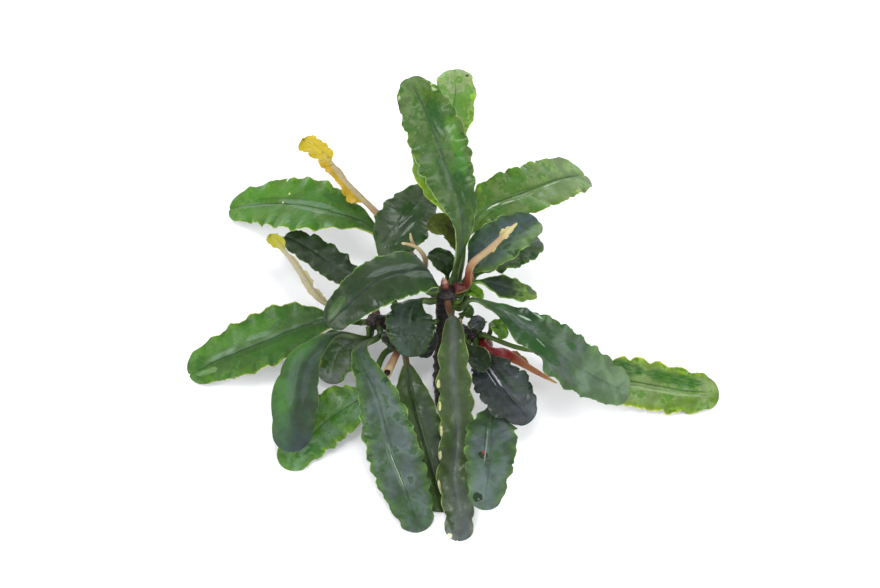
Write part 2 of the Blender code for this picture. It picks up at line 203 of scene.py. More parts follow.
STEMS = {
    stem.name: stem
    for stem in (
        Stem(
            "rhizome_main",
            (
                (0, -3.25, 2.2), (0, 1.75, 2.0), (0, 8.25, 3.0),
                (0.5, 16.25, 8.5), (0.5, 22.75, 15), (1, 26.5, 21),
            ),
            (1.8, 2.4, 2.4, 2.3, 2.3, 2.4),
        ),
        Stem(
            "rhizome_left",
            ((-2.5, 15.75, 8.3), (-7.75, 16.75, 9), (-13.75, 18, 9.5), (-18.75, 18.5, 11.5)),
            (1.7, 1.8, 1.9, 2.1),
        ),
        Stem("rhizome_front", ((-10, 14, 7.6), (-9.5, 10.75, 7.5)), (1.4, 1.5)),
        Stem("rhizome_right", ((3.6, 16.75, 9.5), (6.75, 15.25, 9), (11, 13.5, 8)), (1.6, 1.7, 1.9)),
        Stem("rhizome_back", ((-1.5, 24.9, 13.5), (-5, 30, 13), (-10.25, 36.25, 13)), (1.5, 1.6, 1.9)),
        Stem("crown_bud", ((0.5, 27.0, 21.7), (0.3, 28.2, 23.6), (0.1, 29.4, 25.4)), (0.9, 0.85, 0.4)),
        Stem("cut_stalk", ((-11.3, 10.9, 8.7), (-12.3, 8.8, 8.6), (-14, 5.4, 7.8)), (0.9, 1.0, 1.2)),
        Stem("brown_stalk", ((4, 16.6, 12), (4.3, 17.6, 14), (4.4, 19, 16.8)), (0.6, 0.5, 0.35)),
        Stem(
            "forked_stub",
            ((-4.6, 32.0, 15.6), (-4.8, 34.8, 22.3), (-7.3, 37.2, 25.8), (-10.4, 37.8, 26.8)),
            (0.8, 0.6, 0.3),
        ),
    )
}

BACK_LEAVES = (
    Leaf(
        "leaf_back_tall", "rhizome_main", 0.97,
        ((3.4, 33.25, 26), (5, 41.5, 32.5), (2, 53.25, 39.5), (-2.25, 65.5, 45), (-8.5, 79, 47)),
        width=14.5, stalk_share=0.15, waves=9, widest=0.62, blunt=0.7, lobes=1.4, scallop=0.11, seed=11,
        groove=0.3, notches=((0.985, 1, 0.35, 0.02), (0.998, -1, 0.2, 0.012)),
        creases=((0.4, 0.35, 0.9, 0.12),), wedge=1.6,
    ),
    Leaf(
        "leaf_back_behind", "rhizome_main", 0.83,
        (
            (4.9, 36, 21.7), (3.4, 44, 28.5), (-1.6, 56, 34.5), (0, 65.5, 37.5), (3, 74.5, 39),
            (2.5, 81.5, 38.5),
        ),
        width=12.3, waves=8, blunt=0.72, seed=12, stalk_share=0.33, wedge=1.2,
    ),
    Leaf(
        "leaf_upper_right", "rhizome_main", 0.88,
        ((4.8, 37.6, 26.6), (10.5, 46.3, 29), (19.75, 50.5, 28), (28.75, 54, 23), (36, 55.5, 16.5)),
        width=14.5, stalk_share=0.25, waves=8, blunt=0.85, lobes=1.1, scallop=0.13, seed=13,
        groove=0.45, creases=((-0.14, 0.35, 0.85, 0.2), (0.16, 0.3, 0.7, 0.18)),
        notches=((0.955, 1, 0.3, 0.012), (0.885, 1, 0.22, 0.012), (0.99, 1, 0.2, 0.008)),
    ),
    Leaf(
        "leaf_cupped_right", "rhizome_main", 0.93,
        ((8.2, 33, 25), (13, 36.8, 29), (18.3, 40.1, 30.5), (23.75, 43.25, 30)),
        width=12, stalk_share=0.22, waves=5, ruffle=0.35, fold=0.38, seed=14,
    ),
    Leaf(
        "leaf_wavy_right", "rhizome_main", 0.77,
        ((9, 32.2, 20), (16.75, 36, 20), (24.5, 38.5, 17)),
        width=11, stalk_share=0.3, waves=5, seed=15, lobes=1.4, scallop=0.16,
    ),
    Leaf(
        "leaf_upper_left", "rhizome_back", 0.98,
        ((-17.75, 41.5, 17.5), (-27, 45.75, 17), (-38.25, 48, 10.2), (-47, 48, 3.8), (-54.7, 47, 0.1)),
        width=16, stalk_share=0.12, waves=8, widest=0.5, lobes=1.0, scallop=0.07, seed=16, groove=0.3,
        notches=((0.74, 1, 0.22, 0.009),), creases=((0.1, 0.4, 0.75, 0.15), (-0.08, 0.3, 0.6, 0.15)),
    ),
    Leaf(
        "leaf_upper_centre", "rhizome_back", 0.62,
        ((-14.0, 33.6, 18.7), (-11.6, 40, 21.3), (-7.3, 46.75, 22.6), (-3.6, 52.3, 22.1)),
        width=14.2, stalk_share=0.22, waves=6, blunt=0.5, lobes=1.0, scallop=0.07, seed=17,
        creases=((0.12, 0.45, 0.7, 0.3), (-0.15, 0.5, 0.72, 0.3), (0.3, 0.4, 0.65, 0.25)),
    ),
)

RIGHT_LEAVES = (
    Leaf(
        "leaf_thin_right", "rhizome_main", 0.9,
        ((7, 27.8, 21.6), (12.5, 27.75, 22.5), (17.5, 26.25, 21.5), (23.5, 25, 18)),
        width=6.5, stalk_share=0.35, stalk_radius=0.5, waves=4, ruffle=0.3, blunt=0.2, seed=21,
    ),
    Leaf(
        "leaf_young_curled", "rhizome_main", 0.82,
        ((5.2, 25.5, 16.8), (7.4, 25.9, 17.3), (9.6, 23.6, 15.2)),
        width=3.6, stalk_share=0.3, stalk_radius=0.5, waves=3, ruffle=0.2, fold=0.4, seed=22,
    ),
    Leaf(
        "leaf_big_right", "rhizome_main", 0.87,
        (
            (6.75, 23.75, 24), (12.25, 22, 26), (21.25, 16.5, 25), (31.25, 8.7, 19.5), (39.25, 4, 13.5),
            (46.25, 0.8, 8.5),
        ),
        width=14.5, stalk_share=0.2, stalk_radius=0.6, waves=9, blunt=0.7, seed=23,
        rolls=((1, 0.27, 0.37, 0.9), (1, 0.5, 0.58, 0.8)), widest=0.56, lobes=1.0, scallop=0.14,
    ),
    Leaf(
        "leaf_far_right", "rhizome_right", 0.77,
        (
            (16.9, 12.4, 11.0), (26.5, 10.4, 9.2), (36.75, 5.6, 5.5), (49.25, 2.5, 2),
            (59.25, 0.75, 0.9), (69, 0, 0.3),
        ),
        width=14, stalk_share=0.41, stalk_radius=0.6, waves=7, blunt=0.75, seed=24, groove=0.3,
        creases=((0.16, 0.5, 0.85, 0.16), (-0.16, 0.5, 0.85, 0.16)), lobes=1.1, scallop=0.15,
    ),
    Leaf(
        "leaf_lower_right_dark", "rhizome_right", 0.7,
        ((11.25, 6.75, 13), (16, 0.5, 13.2), (22, -6, 10)),
        width=13.5, stalk_share=0.12, waves=4, widest=0.62, wedge=1.1, seed=25,
        creases=((0.0, 0.2, 0.7, 0.2), (0.14, 0.2, 0.6, 0.2), (-0.3, 0.3, 0.7, 0.3)),
        lobes=1.9, scallop=0.16,
    ),
    Leaf(
        "leaf_lower_right", "rhizome_right", 0.5,
        (
            (11.2, 4.25, 4.8), (12.4, -4.25, 9.0), (11.7, -12.5, 13.7), (10.9, -20, 14.2),
            (9.8, -27.5, 11),
        ),
        width=12.6, stalk_share=0.36, waves=6, ruffle=0.4, seed=26, lobes=1.3, scallop=0.15,
    ),
    Leaf(
        "leaf_curl_middle", "rhizome_main", 0.7,
        ((5.4, 21, 14.2), (6.9, 19.4, 14.3)),
        width=4, stalk_share=0.3, stalk_radius=0.5, waves=3, ruffle=0.3, fold=0.4, seed=27,
    ),
    Leaf(
        "leaf_curl_right", "rhizome_right", 0.98,
        ((12.0, 17.8, 12.8), (13.7, 17.2, 14.3), (15.0, 14.0, 12.0)),
        width=4, stalk_share=0.3, stalk_radius=0.5, waves=3, ruffle=0.3, fold=0.4, seed=28,
    ),
    Leaf(
        "leaf_spoon", "rhizome_right", 0.35,
        ((7.75, 10.25, 13.5), (10.25, 6, 15.8)),
        width=6, stalk_share=0.3, stalk_radius=0.5, waves=3,
        ruffle=0.1, fold=0.4, blunt=0.8, seed=29, groove=0.1,
    ),
    Leaf(
        "leaf_grey_right", "rhizome_right", 0.65,
        ((8.7, 17.5, 12.6), (8.8, 19.8, 14.8)),
        width=4.8, stalk_share=0.1, stalk_radius=0.5, waves=3, ruffle=0.3, seed=30,
    ),
)

FRONT_LEAVES = (
    Leaf(
        "leaf_front_centre", "rhizome_main", 0.93,
        (
            (2.25, 19.25, 21.5), (2.5, 8.75, 19.2), (3.1, -1.25, 12.6), (3.4, -11.25, 6),
            (2.75, -21.25, 2.6), (4, -29.25, 1), (3.5, -35.5, 0.15),
        ),
        width=8.6, stalk_share=0.1, waves=9, fold=0.14, widest=0.4, blunt=0.75, seed=31, ragged=0.5,
        groove=0.28, wedge=0.55, lobes=1.0, scallop=0.26,
    ),
    Leaf(
        "leaf_front_inner", "rhizome_front", 0.9,
        ((-8.5, 4.25, 8), (-7.25, -2.5, 7), (-5, -10.75, 4), (-2.5, -19.25, 1.3), (0, -28.5, 0.35)),
        width=11, stalk_share=0.15, waves=7, wedge=0.8, seed=32, groove=0.35, lobes=1.2, scallop=0.1,
    ),
    Leaf(
        "leaf_front_left", "rhizome_left", 0.84,
        (
            (-20, 12.25, 14.5), (-17.25, 2.5, 14), (-13.75, -8.75, 10), (-10, -20.5, 4.6),
            (-5.25, -33.25, 0.15),
        ),
        width=13.4, stalk_share=0.1, waves=10, widest=0.65, wedge=1.15, lobes=1.3, scallop=0.12,
        seed=33, groove=0.25,
        creases=(
            (-0.04, 0.5, 0.85, 0.3), (0.14, 0.52, 0.88, 0.3), (-0.2, 0.25, 0.8, 0.16),
            (0.3, 0.2, 0.6, 0.14),
        ),
    ),
)

LEFT_LEAVES = (
    Leaf(
        "leaf_left_low", "rhizome_front", 0.6,
        ((-18.25, 1.5, 6), (-25, -3.5, 4.6), (-32, -9.25, 1.9), (-39.25, -18, 0.25)),
        width=13.5, stalk_share=0.25, waves=6, seed=41, lobes=1.2, scallop=0.12,
    ),
    Leaf(
        "leaf_left_curved", "rhizome_left", 0.99,
        (
            (-25.25, 15.25, 14), (-30.5, 13, 15), (-34.5, 8.25, 13.5), (-36.5, 0, 10.5),
            (-37.25, -7.5, 8), (-37.25, -13.75, 6),
        ),
        width=11.6, stalk_share=0.2, waves=4, ruffle=0.12, fold=-0.1, widest=0.65, blunt=0.8, seed=42,
        ragged=0.08, groove=0.15,
    ),
    Leaf(
        "leaf_left_hanging", "rhizome_left", 0.91,
        ((-24, 12.5, 8.5), (-27, 8, 6), (-28, 2.75, 3)),
        width=11, stalk_share=0.2, waves=3, seed=43, lobes=1.3, scallop=0.18,
    ),
    Leaf(
        "leaf_left", "rhizome_left", 0.95,
        ((-27, 18.75, 12.5), (-35.75, 17, 12), (-47, 12.5, 7.4), (-55.75, 8.9, 3), (-63.75, 5, 0.1)),
        width=16, stalk_share=0.15, waves=8, lobes=1.0, scallop=0.07, seed=44, groove=0.35,
        creases=((0.1, 0.55, 0.9, 0.15),),
    ),
    Leaf(
        "leaf_upper_left_small", "rhizome_left", 0.6,
        ((-22, 29, 13.5), (-30.25, 34.5, 14), (-40, 40, 10)),
        width=8.5, stalk_share=0.25, waves=6, seed=45, lobes=1.1, scallop=0.16,
    ),
)

MIDDLE_LEAVES = (
    Leaf(
        "leaf_centre_left", "rhizome_main", 0.96,
        (
            (-3.25, 30.25, 28), (-9.5, 30.5, 32), (-17, 27.75, 33.5), (-23.25, 23, 31.5),
            (-28.5, 17.75, 27.5),
        ),
        width=13.5, stalk_share=0.07, waves=7, ruffle=0.45, fold=-0.1, lobes=1.3, scallop=0.08, seed=51,
        groove=0.18, creases=((0.05, 0.3, 0.62, 0.18), (-0.25, 0.25, 0.5, 0.16)), wedge=0.7,
    ),
    Leaf(
        "leaf_olive_small", "rhizome_main", 0.74,
        ((4.1, 36.3, 19.9), (1.8, 42.0, 23.2), (-4.0, 42.2, 25.3)),
        width=6.5, stalk_share=0.5, stalk_radius=0.6, waves=3, ruffle=0.3, seed=52,
    ),
    Leaf(
        "leaf_dark_small", "rhizome_main", 0.79,
        ((0.4, 32.9, 19.2), (-1.8, 34.9, 19.3), (-3.9, 35, 18.6)),
        width=5.8, stalk_share=0.45, stalk_radius=0.55, waves=3, ruffle=0.3, seed=53,
    ),
    Leaf(
        "leaf_centre_lower", "rhizome_main", 0.88,
        ((-4.4, 23.6, 18), (-7.3, 21.75, 19.2), (-7.9, 15.75, 17.2), (-7.4, 9.6, 13.2)),
        width=12.3, stalk_share=0.2, waves=5, seed=54,
        creases=((0.3, 0.4, 0.9, 0.3), (-0.1, 0.3, 0.8, 0.2), (-0.4, 0.45, 0.9, 0.25)),
        lobes=1.2, scallop=0.14,
    ),
    Leaf(
        "leaf_centre_back", "rhizome_main", 0.7,
        ((-3.6, 18.2, 13), (-4.5, 15, 12.3), (-4.75, 9.25, 8.3)),
        width=6.5, stalk_share=0.2, stalk_radius=0.6, waves=3, ruffle=0.3, seed=55,
    ),
    Leaf(
        "leaf_under_centre", "rhizome_left", 0.6,
        ((-13.2, 15.6, 12.6), (-12.4, 13.5, 13.0), (-11.6, 11.6, 12.6)),
        width=5, stalk_share=0.2, waves=3, ruffle=0.3, seed=56,
    ),
)

OLD_STALKS = (
    OldStalk(
        "old_stalk_upper_left", "rhizome_back", 0.82,
        ((-18.75, 47.7, 19), (-24.6, 53.6, 21), (-30, 60.2, 21), (-35.2, 64.2, 20.5)),
        stalk_radius=1.2, rod=(1.05, 0.9, 0.8, 0.75, 0.7, 0.6, 0.5), waves=5, fold=0.3, seed=61,
        flaps=(
            (0.48, 0.6, -1, 2.5), (0.61, 0.71, -1, 1.4), (0.71, 0.84, -1, 2.1), (0.85, 1.03, -1, 2.4),
            (0.8, 1.03, 1, 1.9), (0.64, 0.72, 1, 0.3),
        ),
    ),
    OldStalk(
        "old_stalk_left", "rhizome_left", 0.84,
        ((-28.5, 22.75, 15), (-34.75, 29.3, 17.5), (-43.2, 40, 18.3)),
        stalk_radius=1.0, rod=(0.8, 0.65, 0.7, 0.8, 0.75, 0.6, 0.5), waves=4, fold=0.3, seed=62,
        flaps=(
            (0.42, 0.52, 1, 0.7), (0.56, 0.66, 1, 0.9), (0.68, 0.8, 1, 0.45), (0.5, 0.62, -1, 0.3),
            (0.88, 1.03, 1, 1.3), (0.9, 1.03, -1, 1.3),
        ),
    ),
    OldStalk(
        "old_stalk_right", "rhizome_main", 0.985,
        ((6.8, 32.1, 28.6), (11, 35.9, 32.6), (14.6, 39.3, 35.4), (18.3, 42.75, 38)),
        stalk_radius=1.05, rod=(1.15, 1.1, 1.0, 0.9, 0.85, 0.65, 0.3), waves=4, fold=0.3, seed=63,
        ragged=0.5,
        flaps=((0.66, 0.7, 1, 0.7), (0.8, 0.92, -1, 0.7), (0.82, 0.93, 1, 0.5), (0.38, 0.43, 1, 0.5)),
    ),
    OldStalk(
        "old_stalk_lower_right", "rhizome_right", 0.98,
        ((12.5, 10.3, 9.9), (14.8, 10.4, 8.0), (17.5, 9.3, 6.8), (21.75, 6.75, 4.8), (28.5, 2.9, 1.6)),
        stalk_radius=1.15, rod=(1.35, 1.6, 1.5, 1.1, 0.8, 0.55, 0.2), waves=3, fold=0.1, seed=64,
        flaps=((0.42, 0.62, -1, 0.8),),
    ),
)

# The side twig of the forked stub.
STUB_PRONG = Stem(
    "forked_prong", ((-6.9, 37.0, 25.4), (-7.8, 38.6, 26.1), (-8.1, 40.4, 26.5)), (0.5, 0.4, 0.22)
)


@dataclass
class Look:
    """How one leaf is finished: its green, and how far each marking shows on it.

    tint multiplies the finish's colours. veil is the share of the bloom, which is partly the leaf's
    grey bloom and partly painted sheen from the lights, and wet that of the smooth dark blotches,
    which lie about wet_place along the leaf within wet_reach. half is a second colour for the side
    that half_side names. tip colours the leaf from tip_from on, and base its stalk. rib_apart
    splits the midrib's line in two. crest_share is how much painted highlight lightens the waves'
    crests and painted shade darkens their troughs. shade darkens the leaf as far as shade_to.
    spots are (share, across, radius, colour) and streaks are (from, to, across from, across to,
    width, colour, strength); some of them are painted highlights, sheen or shade, as noted at
    their leaves.
    """

    finish: str
    tint: tuple = (1, 1, 1)
    veil: float = 0.55
    wet: float = 0.4
    wet_place: float = 0.5
    wet_reach: float = 0.5
    half: tuple = (0, 0, 0)
    half_side: float = 0.0
    half_share: float = 0.0
    tip: tuple = (0, 0, 0)
    tip_share: float = 0.0
    tip_from: float = 0.72
    rib: tuple = (0.02, 0.045, 0.02)
    rib_share: float = 0.5
    rib_width: float = 0.28
    rib_apart: float = 0.0
    margin: tuple = (0.22, 0.32, 0.05)
    margin_share: float = 0.6
    margin_width: float = 0.22
    base: tuple = (0.04, 0.075, 0.012)
    edge_share: float = 0.6
    edge_width: float = 2.6
    crest_share: float = 0.35
    shade: float = 0.5
    shade_to: float = 0.4
    spots: tuple = ()
    streaks: tuple = ()

    def sockets(self):
        """Its shares, measures and colours by the names of the leaf skin's sockets."""
        values = {}
        for field in fields(self):
            value = getattr(self, field.name)
            if field.name not in ("finish", "tint", "spots", "streaks"):
                label = field.name.replace("_", " ").title()
                values[label] = opaque(value) if isinstance(value, tuple) else value
        return values


LOOKS = {
    "leaf_back_tall": Look(
        "bright", (0.86, 0.72, 0.74), veil=0.7, wet=0.75, wet_place=0.6, wet_reach=0.3,
        half=(0.07, 0.115, 0.035), half_side=-1, half_share=0.6, rib=(0.02, 0.042, 0.025), rib_share=0.8,
        rib_width=0.45, margin=(0.3, 0.4, 0.2), shade=0.9, shade_to=0.6,
        spots=(
            (0.8, 0.24, 1.3, (0.01, 0.055, 0.001)), (0.735, 0.18, 1.1, (0.012, 0.06, 0.001)),
            (0.51, 0.2, 1.1, (0.01, 0.05, 0.001)), (0.42, 0.62, 1.3, (0.012, 0.055, 0.001)),
            (0.55, -0.24, 0.9, (0.015, 0.06, 0.002)), (0.36, 0.2, 0.9, (0.012, 0.05, 0.002)),
            (0.6, 0.5, 0.8, (0.012, 0.06, 0.001)),
        ),
        streaks=(
            (0.69, 0.88, 0.16, 0.3, 2.6, (0.006, 0.05, 0.0005), 1.0),
            (0.58, 0.78, 0.55, 0.62, 2.1, (0.05, 0.17, 0.004), 0.7),
            (0.5, 0.62, 0.45, 0.6, 1.9, (0.02, 0.12, 0.001), 0.85),
            (0.38, 0.55, 0.14, 0.3, 2.2, (0.005, 0.04, 0.0005), 0.95),
            (0.46, 0.64, -0.22, -0.14, 1.7, (0.007, 0.045, 0.001), 0.9),
            (0.32, 0.46, 0.6, 0.5, 1.9, (0.006, 0.04, 0.0005), 0.9),
            (0.3, 0.42, -0.4, -0.5, 1.6, (0.01, 0.05, 0.001), 0.8),
        ),
    ),
    "leaf_back_behind": Look(
        "bright", (2.8, 1.95, 2.7), veil=0.7, wet=0.55, wet_place=0.8, wet_reach=0.3,
        tip=(0.2, 0.26, 0.12), tip_share=0.5, margin=(0.3, 0.4, 0.06), margin_width=0.35, shade=0.6,
        shade_to=0.75,
        spots=((0.955, 0.52, 0.4, (0.02, 0.012, 0.008)), (0.87, 0.72, 0.75, (0.15, 0.33, 0.01))),
    ),
    "leaf_upper_right": Look(
        "bright", (1.3, 1.05, 0.9), veil=0.75, wet=0.65, wet_place=0.55, wet_reach=0.3,
        tip=(0.12, 0.19, 0.07), tip_share=0.75, rib=(0.02, 0.07, 0.004), rib_share=0.8, rib_width=0.5,
        margin=(0.3, 0.36, 0.08),
        streaks=(
            # The first three streaks, pale grey, are painted glints along the creases and the midrib.
            (0.42, 0.5, 0.05, 0.1, 0.32, (0.45, 0.55, 0.42), 0.9),
            (0.49, 0.56, 0.16, 0.2, 0.25, (0.4, 0.5, 0.38), 0.8),
            (0.7, 0.82, 0.12, 0.14, 0.2, (0.36, 0.46, 0.34), 0.7),
            (0.3, 0.62, 0.24, 0.3, 0.3, (0.015, 0.06, 0.003), 0.8),
            (0.45, 0.75, -0.12, -0.05, 0.3, (0.02, 0.08, 0.004), 0.7),
        ),
    ),
    # The two halves' colours are painted light and shade: one half brighter green as if lit, the upturned
    # far half darker slate as if shaded.
    "leaf_cupped_right": Look(
        "slate", (0.75, 0.75, 1.05), veil=0.7, wet=0.1, half=(0.09, 0.17, 0.035), half_side=1,
        half_share=0.95, rib_share=0.6, edge_width=2.4, edge_share=0.35, shade=0.6,
        margin=(0.2, 0.34, 0.06),
    ),
    "leaf_wavy_right": Look("deep", (3.2, 2.1, 3.4), veil=0.4, margin=(0.14, 0.22, 0.04), edge_share=0.8),
    "leaf_upper_left": Look(
        "bright", (1.1, 1.12, 0.8), veil=0.45, wet=0.65, rib=(0.012, 0.03, 0.012), rib_share=0.8,
        rib_width=0.3, margin=(0.36, 0.42, 0.05), margin_width=0.32, shade=0.85, shade_to=0.5,
        spots=((0.68, 0.35, 0.28, (0.75, 0.62, 0.35)), (0.7, 0.04, 0.24, (0.7, 0.5, 0.35))),
        streaks=(
            # The first, second and sixth streaks, grey along the midrib, are painted reflection of the
            # lights in its groove.
            (0.72, 0.97, -0.06, -0.04, 0.7, (0.11, 0.17, 0.11), 0.7),
            (0.35, 0.75, 0.12, 0.1, 0.9, (0.13, 0.19, 0.14), 0.6),
            (0.6, 0.97, 0.5, 0.42, 2.6, (0.065, 0.2, 0.004), 0.5),
            (0.66, 0.96, -0.5, -0.4, 2.2, (0.06, 0.18, 0.004), 0.45),
            (0.22, 0.5, 0.4, 0.5, 1.8, (0.012, 0.05, 0.003), 0.65),
            (0.38, 0.6, -0.16, -0.12, 0.5, (0.1, 0.16, 0.1), 0.6),
            (0.5, 0.9, 0.2, 0.18, 0.5, (0.02, 0.075, 0.003), 0.6),
        ),
    ),
    "leaf_upper_centre": Look(
        "slate", (0.95, 0.88, 0.55), veil=0.8, wet=0.75, wet_place=0.6, wet_reach=0.28, rib_share=0.4,
        edge_share=0.3, margin_share=0.35,
        streaks=(
            # The first two streaks, pale grey, are painted highlights.
            (0.48, 0.66, 0.16, 0.34, 0.5, (0.2, 0.25, 0.21), 0.7),
            (0.52, 0.7, -0.1, 0.12, 0.35, (0.18, 0.23, 0.2), 0.65),
            (0.44, 0.62, 0.34, 0.5, 0.8, (0.006, 0.03, 0.003), 0.9),
            (0.5, 0.72, 0.0, 0.2, 0.7, (0.006, 0.026, 0.003), 0.9),
            (0.36, 0.52, -0.3, -0.2, 0.7, (0.008, 0.035, 0.003), 0.8),
        ),
    ),
    "leaf_thin_right": Look(
        "deep", (0.7, 0.6, 1.3), veil=0.3, wet=0.2, tip=(0.11, 0.2, 0.02), tip_share=0.9,
        margin=(0.12, 0.24, 0.02), margin_share=0.9, margin_width=0.4,
    ),
    "leaf_young_curled": Look(
        "bright", (1.5, 1.4, 0.6), veil=0.1, wet=0.1, base=(0.12, 0.22, 0.02), shade=0.2,
    ),
    "leaf_big_right": Look(
        "slate", (1.4, 1.22, 1.25), veil=0.75, wet=1.0, wet_place=0.36, wet_reach=0.3,
        tip=(0.085, 0.145, 0.06), tip_share=0.6, rib=(0.035, 0.05, 0.045), rib_share=0.45,
        margin=(0.16, 0.24, 0.1), shade=0.6, shade_to=0.28,
        spots=(
            (0.42, -0.5, 1.6, (0.006, 0.035, 0.002)), (0.5, -0.42, 0.9, (0.008, 0.04, 0.002)),
            (0.46, 0.32, 1.1, (0.008, 0.04, 0.002)), (0.54, 0.4, 1.5, (0.01, 0.05, 0.002)),
            (0.37, 0.22, 1.0, (0.006, 0.035, 0.002)), (0.65, -0.48, 0.9, (0.01, 0.05, 0.003)),
        ),
        streaks=(
            (0.32, 0.48, -0.5, -0.4, 2.3, (0.002, 0.022, 0.001), 1.0),
            (0.46, 0.58, -0.42, -0.3, 1.6, (0.003, 0.03, 0.001), 0.95),
            (0.44, 0.66, 0.3, 0.4, 2.5, (0.004, 0.04, 0.001), 0.95),
            (0.32, 0.44, 0.25, 0.3, 1.9, (0.003, 0.03, 0.001), 0.95),
            (0.61, 0.69, -0.5, -0.45, 1.3, (0.008, 0.05, 0.002), 0.9),
            # The last three streaks, pale grey, are painted glints.
            (0.38, 0.45, -0.18, -0.3, 0.35, (0.32, 0.42, 0.36), 0.85),
            (0.42, 0.48, -0.62, -0.56, 0.3, (0.3, 0.4, 0.34), 0.7),
            (0.5, 0.56, 0.12, 0.2, 0.25, (0.26, 0.34, 0.28), 0.6),
        ),
    ),
    "leaf_far_right": Look(
        "bright", (1.75, 1.25, 1.4), veil=0.7, wet=0.3, wet_place=0.75, wet_reach=0.3,
        rib=(0.012, 0.035, 0.008), rib_share=0.85, rib_width=0.3, rib_apart=0.55,
        margin=(0.42, 0.44, 0.05), margin_width=0.4, margin_share=0.8, edge_share=0.8, shade=0.6,
        streaks=(
            (0.38, 0.72, -0.54, -0.52, 2.7, (0.006, 0.06, 0.0005), 1.0),
            (0.68, 0.95, -0.5, -0.38, 2.3, (0.008, 0.07, 0.0005), 0.95),
            (0.42, 0.98, 0.14, 0.1, 0.6, (0.24, 0.34, 0.15), 0.55),
            (0.42, 0.97, 0.0, 0.0, 0.2, (0.12, 0.2, 0.07), 0.6),
        ),
    ),
    "leaf_lower_right_dark": Look(
        "dusk", (1.25, 1.15, 1.45), veil=0.7, wet=0.55, half=(0.035, 0.062, 0.038), half_side=-1,
        half_share=0.85, margin_share=0.35, margin=(0.1, 0.13, 0.07), rib=(0.004, 0.005, 0.004),
        rib_share=0.8,
        streaks=(
            # The first two streaks, pale lilac grey along the midrib, are painted highlights.
            (0.2, 0.64, -0.06, 0.0, 0.3, (0.4, 0.42, 0.46), 0.85),
            (0.26, 0.6, 0.1, 0.16, 0.22, (0.3, 0.32, 0.36), 0.75),
            (0.2, 0.6, 0.03, 0.08, 0.5, (0.004, 0.006, 0.004), 0.9),
            (0.15, 0.42, 0.35, 0.45, 1.2, (0.12, 0.115, 0.15), 0.6),
            (0.45, 0.62, -0.25, -0.2, 0.8, (0.005, 0.022, 0.005), 0.8),
            (0.6, 0.8, 0.3, 0.3, 1.0, (0.012, 0.018, 0.014), 0.7),
        ),
    ),
    "leaf_lower_right": Look(
        "slate", (1.4, 1.15, 1.45), crest_share=0.6, veil=0.65, wet=0.0, margin=(0.12, 0.2, 0.05),
        shade_to=0.5,
        spots=(
            (0.74, 0.27, 1.25, (0.006, 0.02, 0.006)), (0.725, 0.26, 0.5, (0.22, 0.02, 0.04)),
            (0.745, 0.22, 0.36, (0.17, 0.02, 0.04)), (0.945, 0.3, 1.2, (0.003, 0.016, 0.002)),
            # The last spot, small and pale within the dark one at the tip, is a painted highlight.
            (0.955, 0.24, 0.2, (0.1, 0.14, 0.1)),
        ),
        streaks=(
            (0.56, 0.8, 0.13, 0.22, 0.28, (0.16, 0.21, 0.16), 0.8),
            (0.5, 0.78, 0.2, 0.27, 0.25, (0.008, 0.03, 0.008), 0.8),
        ),
    ),
    "leaf_curl_middle": Look("olive", (0.6, 0.8, 0.7), veil=0.2),
    "leaf_curl_right": Look("bright", (0.9, 0.9, 0.6), veil=0.1, shade=0.3),
    "leaf_spoon": Look(
        "deep", (0.7, 0.6, 0.7), veil=0.5, wet=0.1, margin=(0.34, 0.34, 0.16), margin_share=1,
        edge_share=0.2,
    ),
    "leaf_grey_right": Look("dusk", (2.2, 2.0, 2.4), veil=1.0),
    "leaf_front_centre": Look(
        "olive", (0.5, 0.6, 0.4), veil=0.3, wet=0.1, rib=(0.06, 0.075, 0.066), rib_share=0.7,
        rib_width=1.5, margin=(0.24, 0.28, 0.09), margin_share=0.5, tip=(0.075, 0.088, 0.085),
        tip_share=0.9, tip_from=0.8, base=(0.1, 0.045, 0.018), shade_to=0.3, edge_share=0.7,
        edge_width=1.6, crest_share=0.6,
        spots=((0.985, 0.5, 0.7, (0.5, 0.5, 0.34)),),
        streaks=(
            (0.345, 0.385, 0.88, 0.92, 0.5, (0.52, 0.5, 0.24), 0.9),
            (0.43, 0.475, 0.9, 0.94, 0.4, (0.5, 0.48, 0.22), 0.85),
            (0.53, 0.585, 0.92, 0.9, 0.45, (0.5, 0.48, 0.22), 0.85),
            (0.64, 0.68, 0.9, 0.86, 0.5, (0.52, 0.5, 0.26), 0.9),
            (0.745, 0.82, 0.9, 0.88, 0.55, (0.52, 0.5, 0.26), 0.9),
            (0.86, 0.885, 0.9, 0.88, 0.35, (0.5, 0.48, 0.3), 0.8),
        ),
    ),
    "leaf_front_inner": Look(
        "olive", (0.6, 0.75, 0.45), veil=0.15, wet=0.2, half=(0.04, 0.062, 0.042), half_side=-1,
        half_share=0.8, rib=(0.004, 0.012, 0.004), rib_share=0.9, rib_width=0.4, base=(0.1, 0.03, 0.02),
        streaks=((0.35, 0.85, -0.09, -0.08, 0.3, (0.11, 0.15, 0.1), 0.6),),
    ),
    "leaf_front_left": Look(
        "slate", (1.15, 1.05, 1.1), crest_share=0.6, veil=0.9, wet=0.12, rib_share=0.35, rib_width=0.4,
        base=(0.02, 0.045, 0.008), shade=0.75, shade_to=0.42, edge_share=0.9, edge_width=3.2,
        margin=(0.16, 0.26, 0.06),
        streaks=(
            # The first and fourth streaks are painted glints between the creases, the second and third are
            # painted shade in the creases, and the last two, slate, are painted sheen.
            (0.58, 0.84, 0.16, 0.02, 1.1, (0.1, 0.15, 0.1), 0.7),
            (0.6, 0.8, 0.205, 0.02, 0.2, (0.008, 0.03, 0.008), 0.95),
            (0.62, 0.85, 0.075, 0.0, 0.24, (0.008, 0.03, 0.008), 0.95),
            (0.64, 0.82, 0.13, 0.02, 0.2, (0.26, 0.34, 0.24), 0.8),
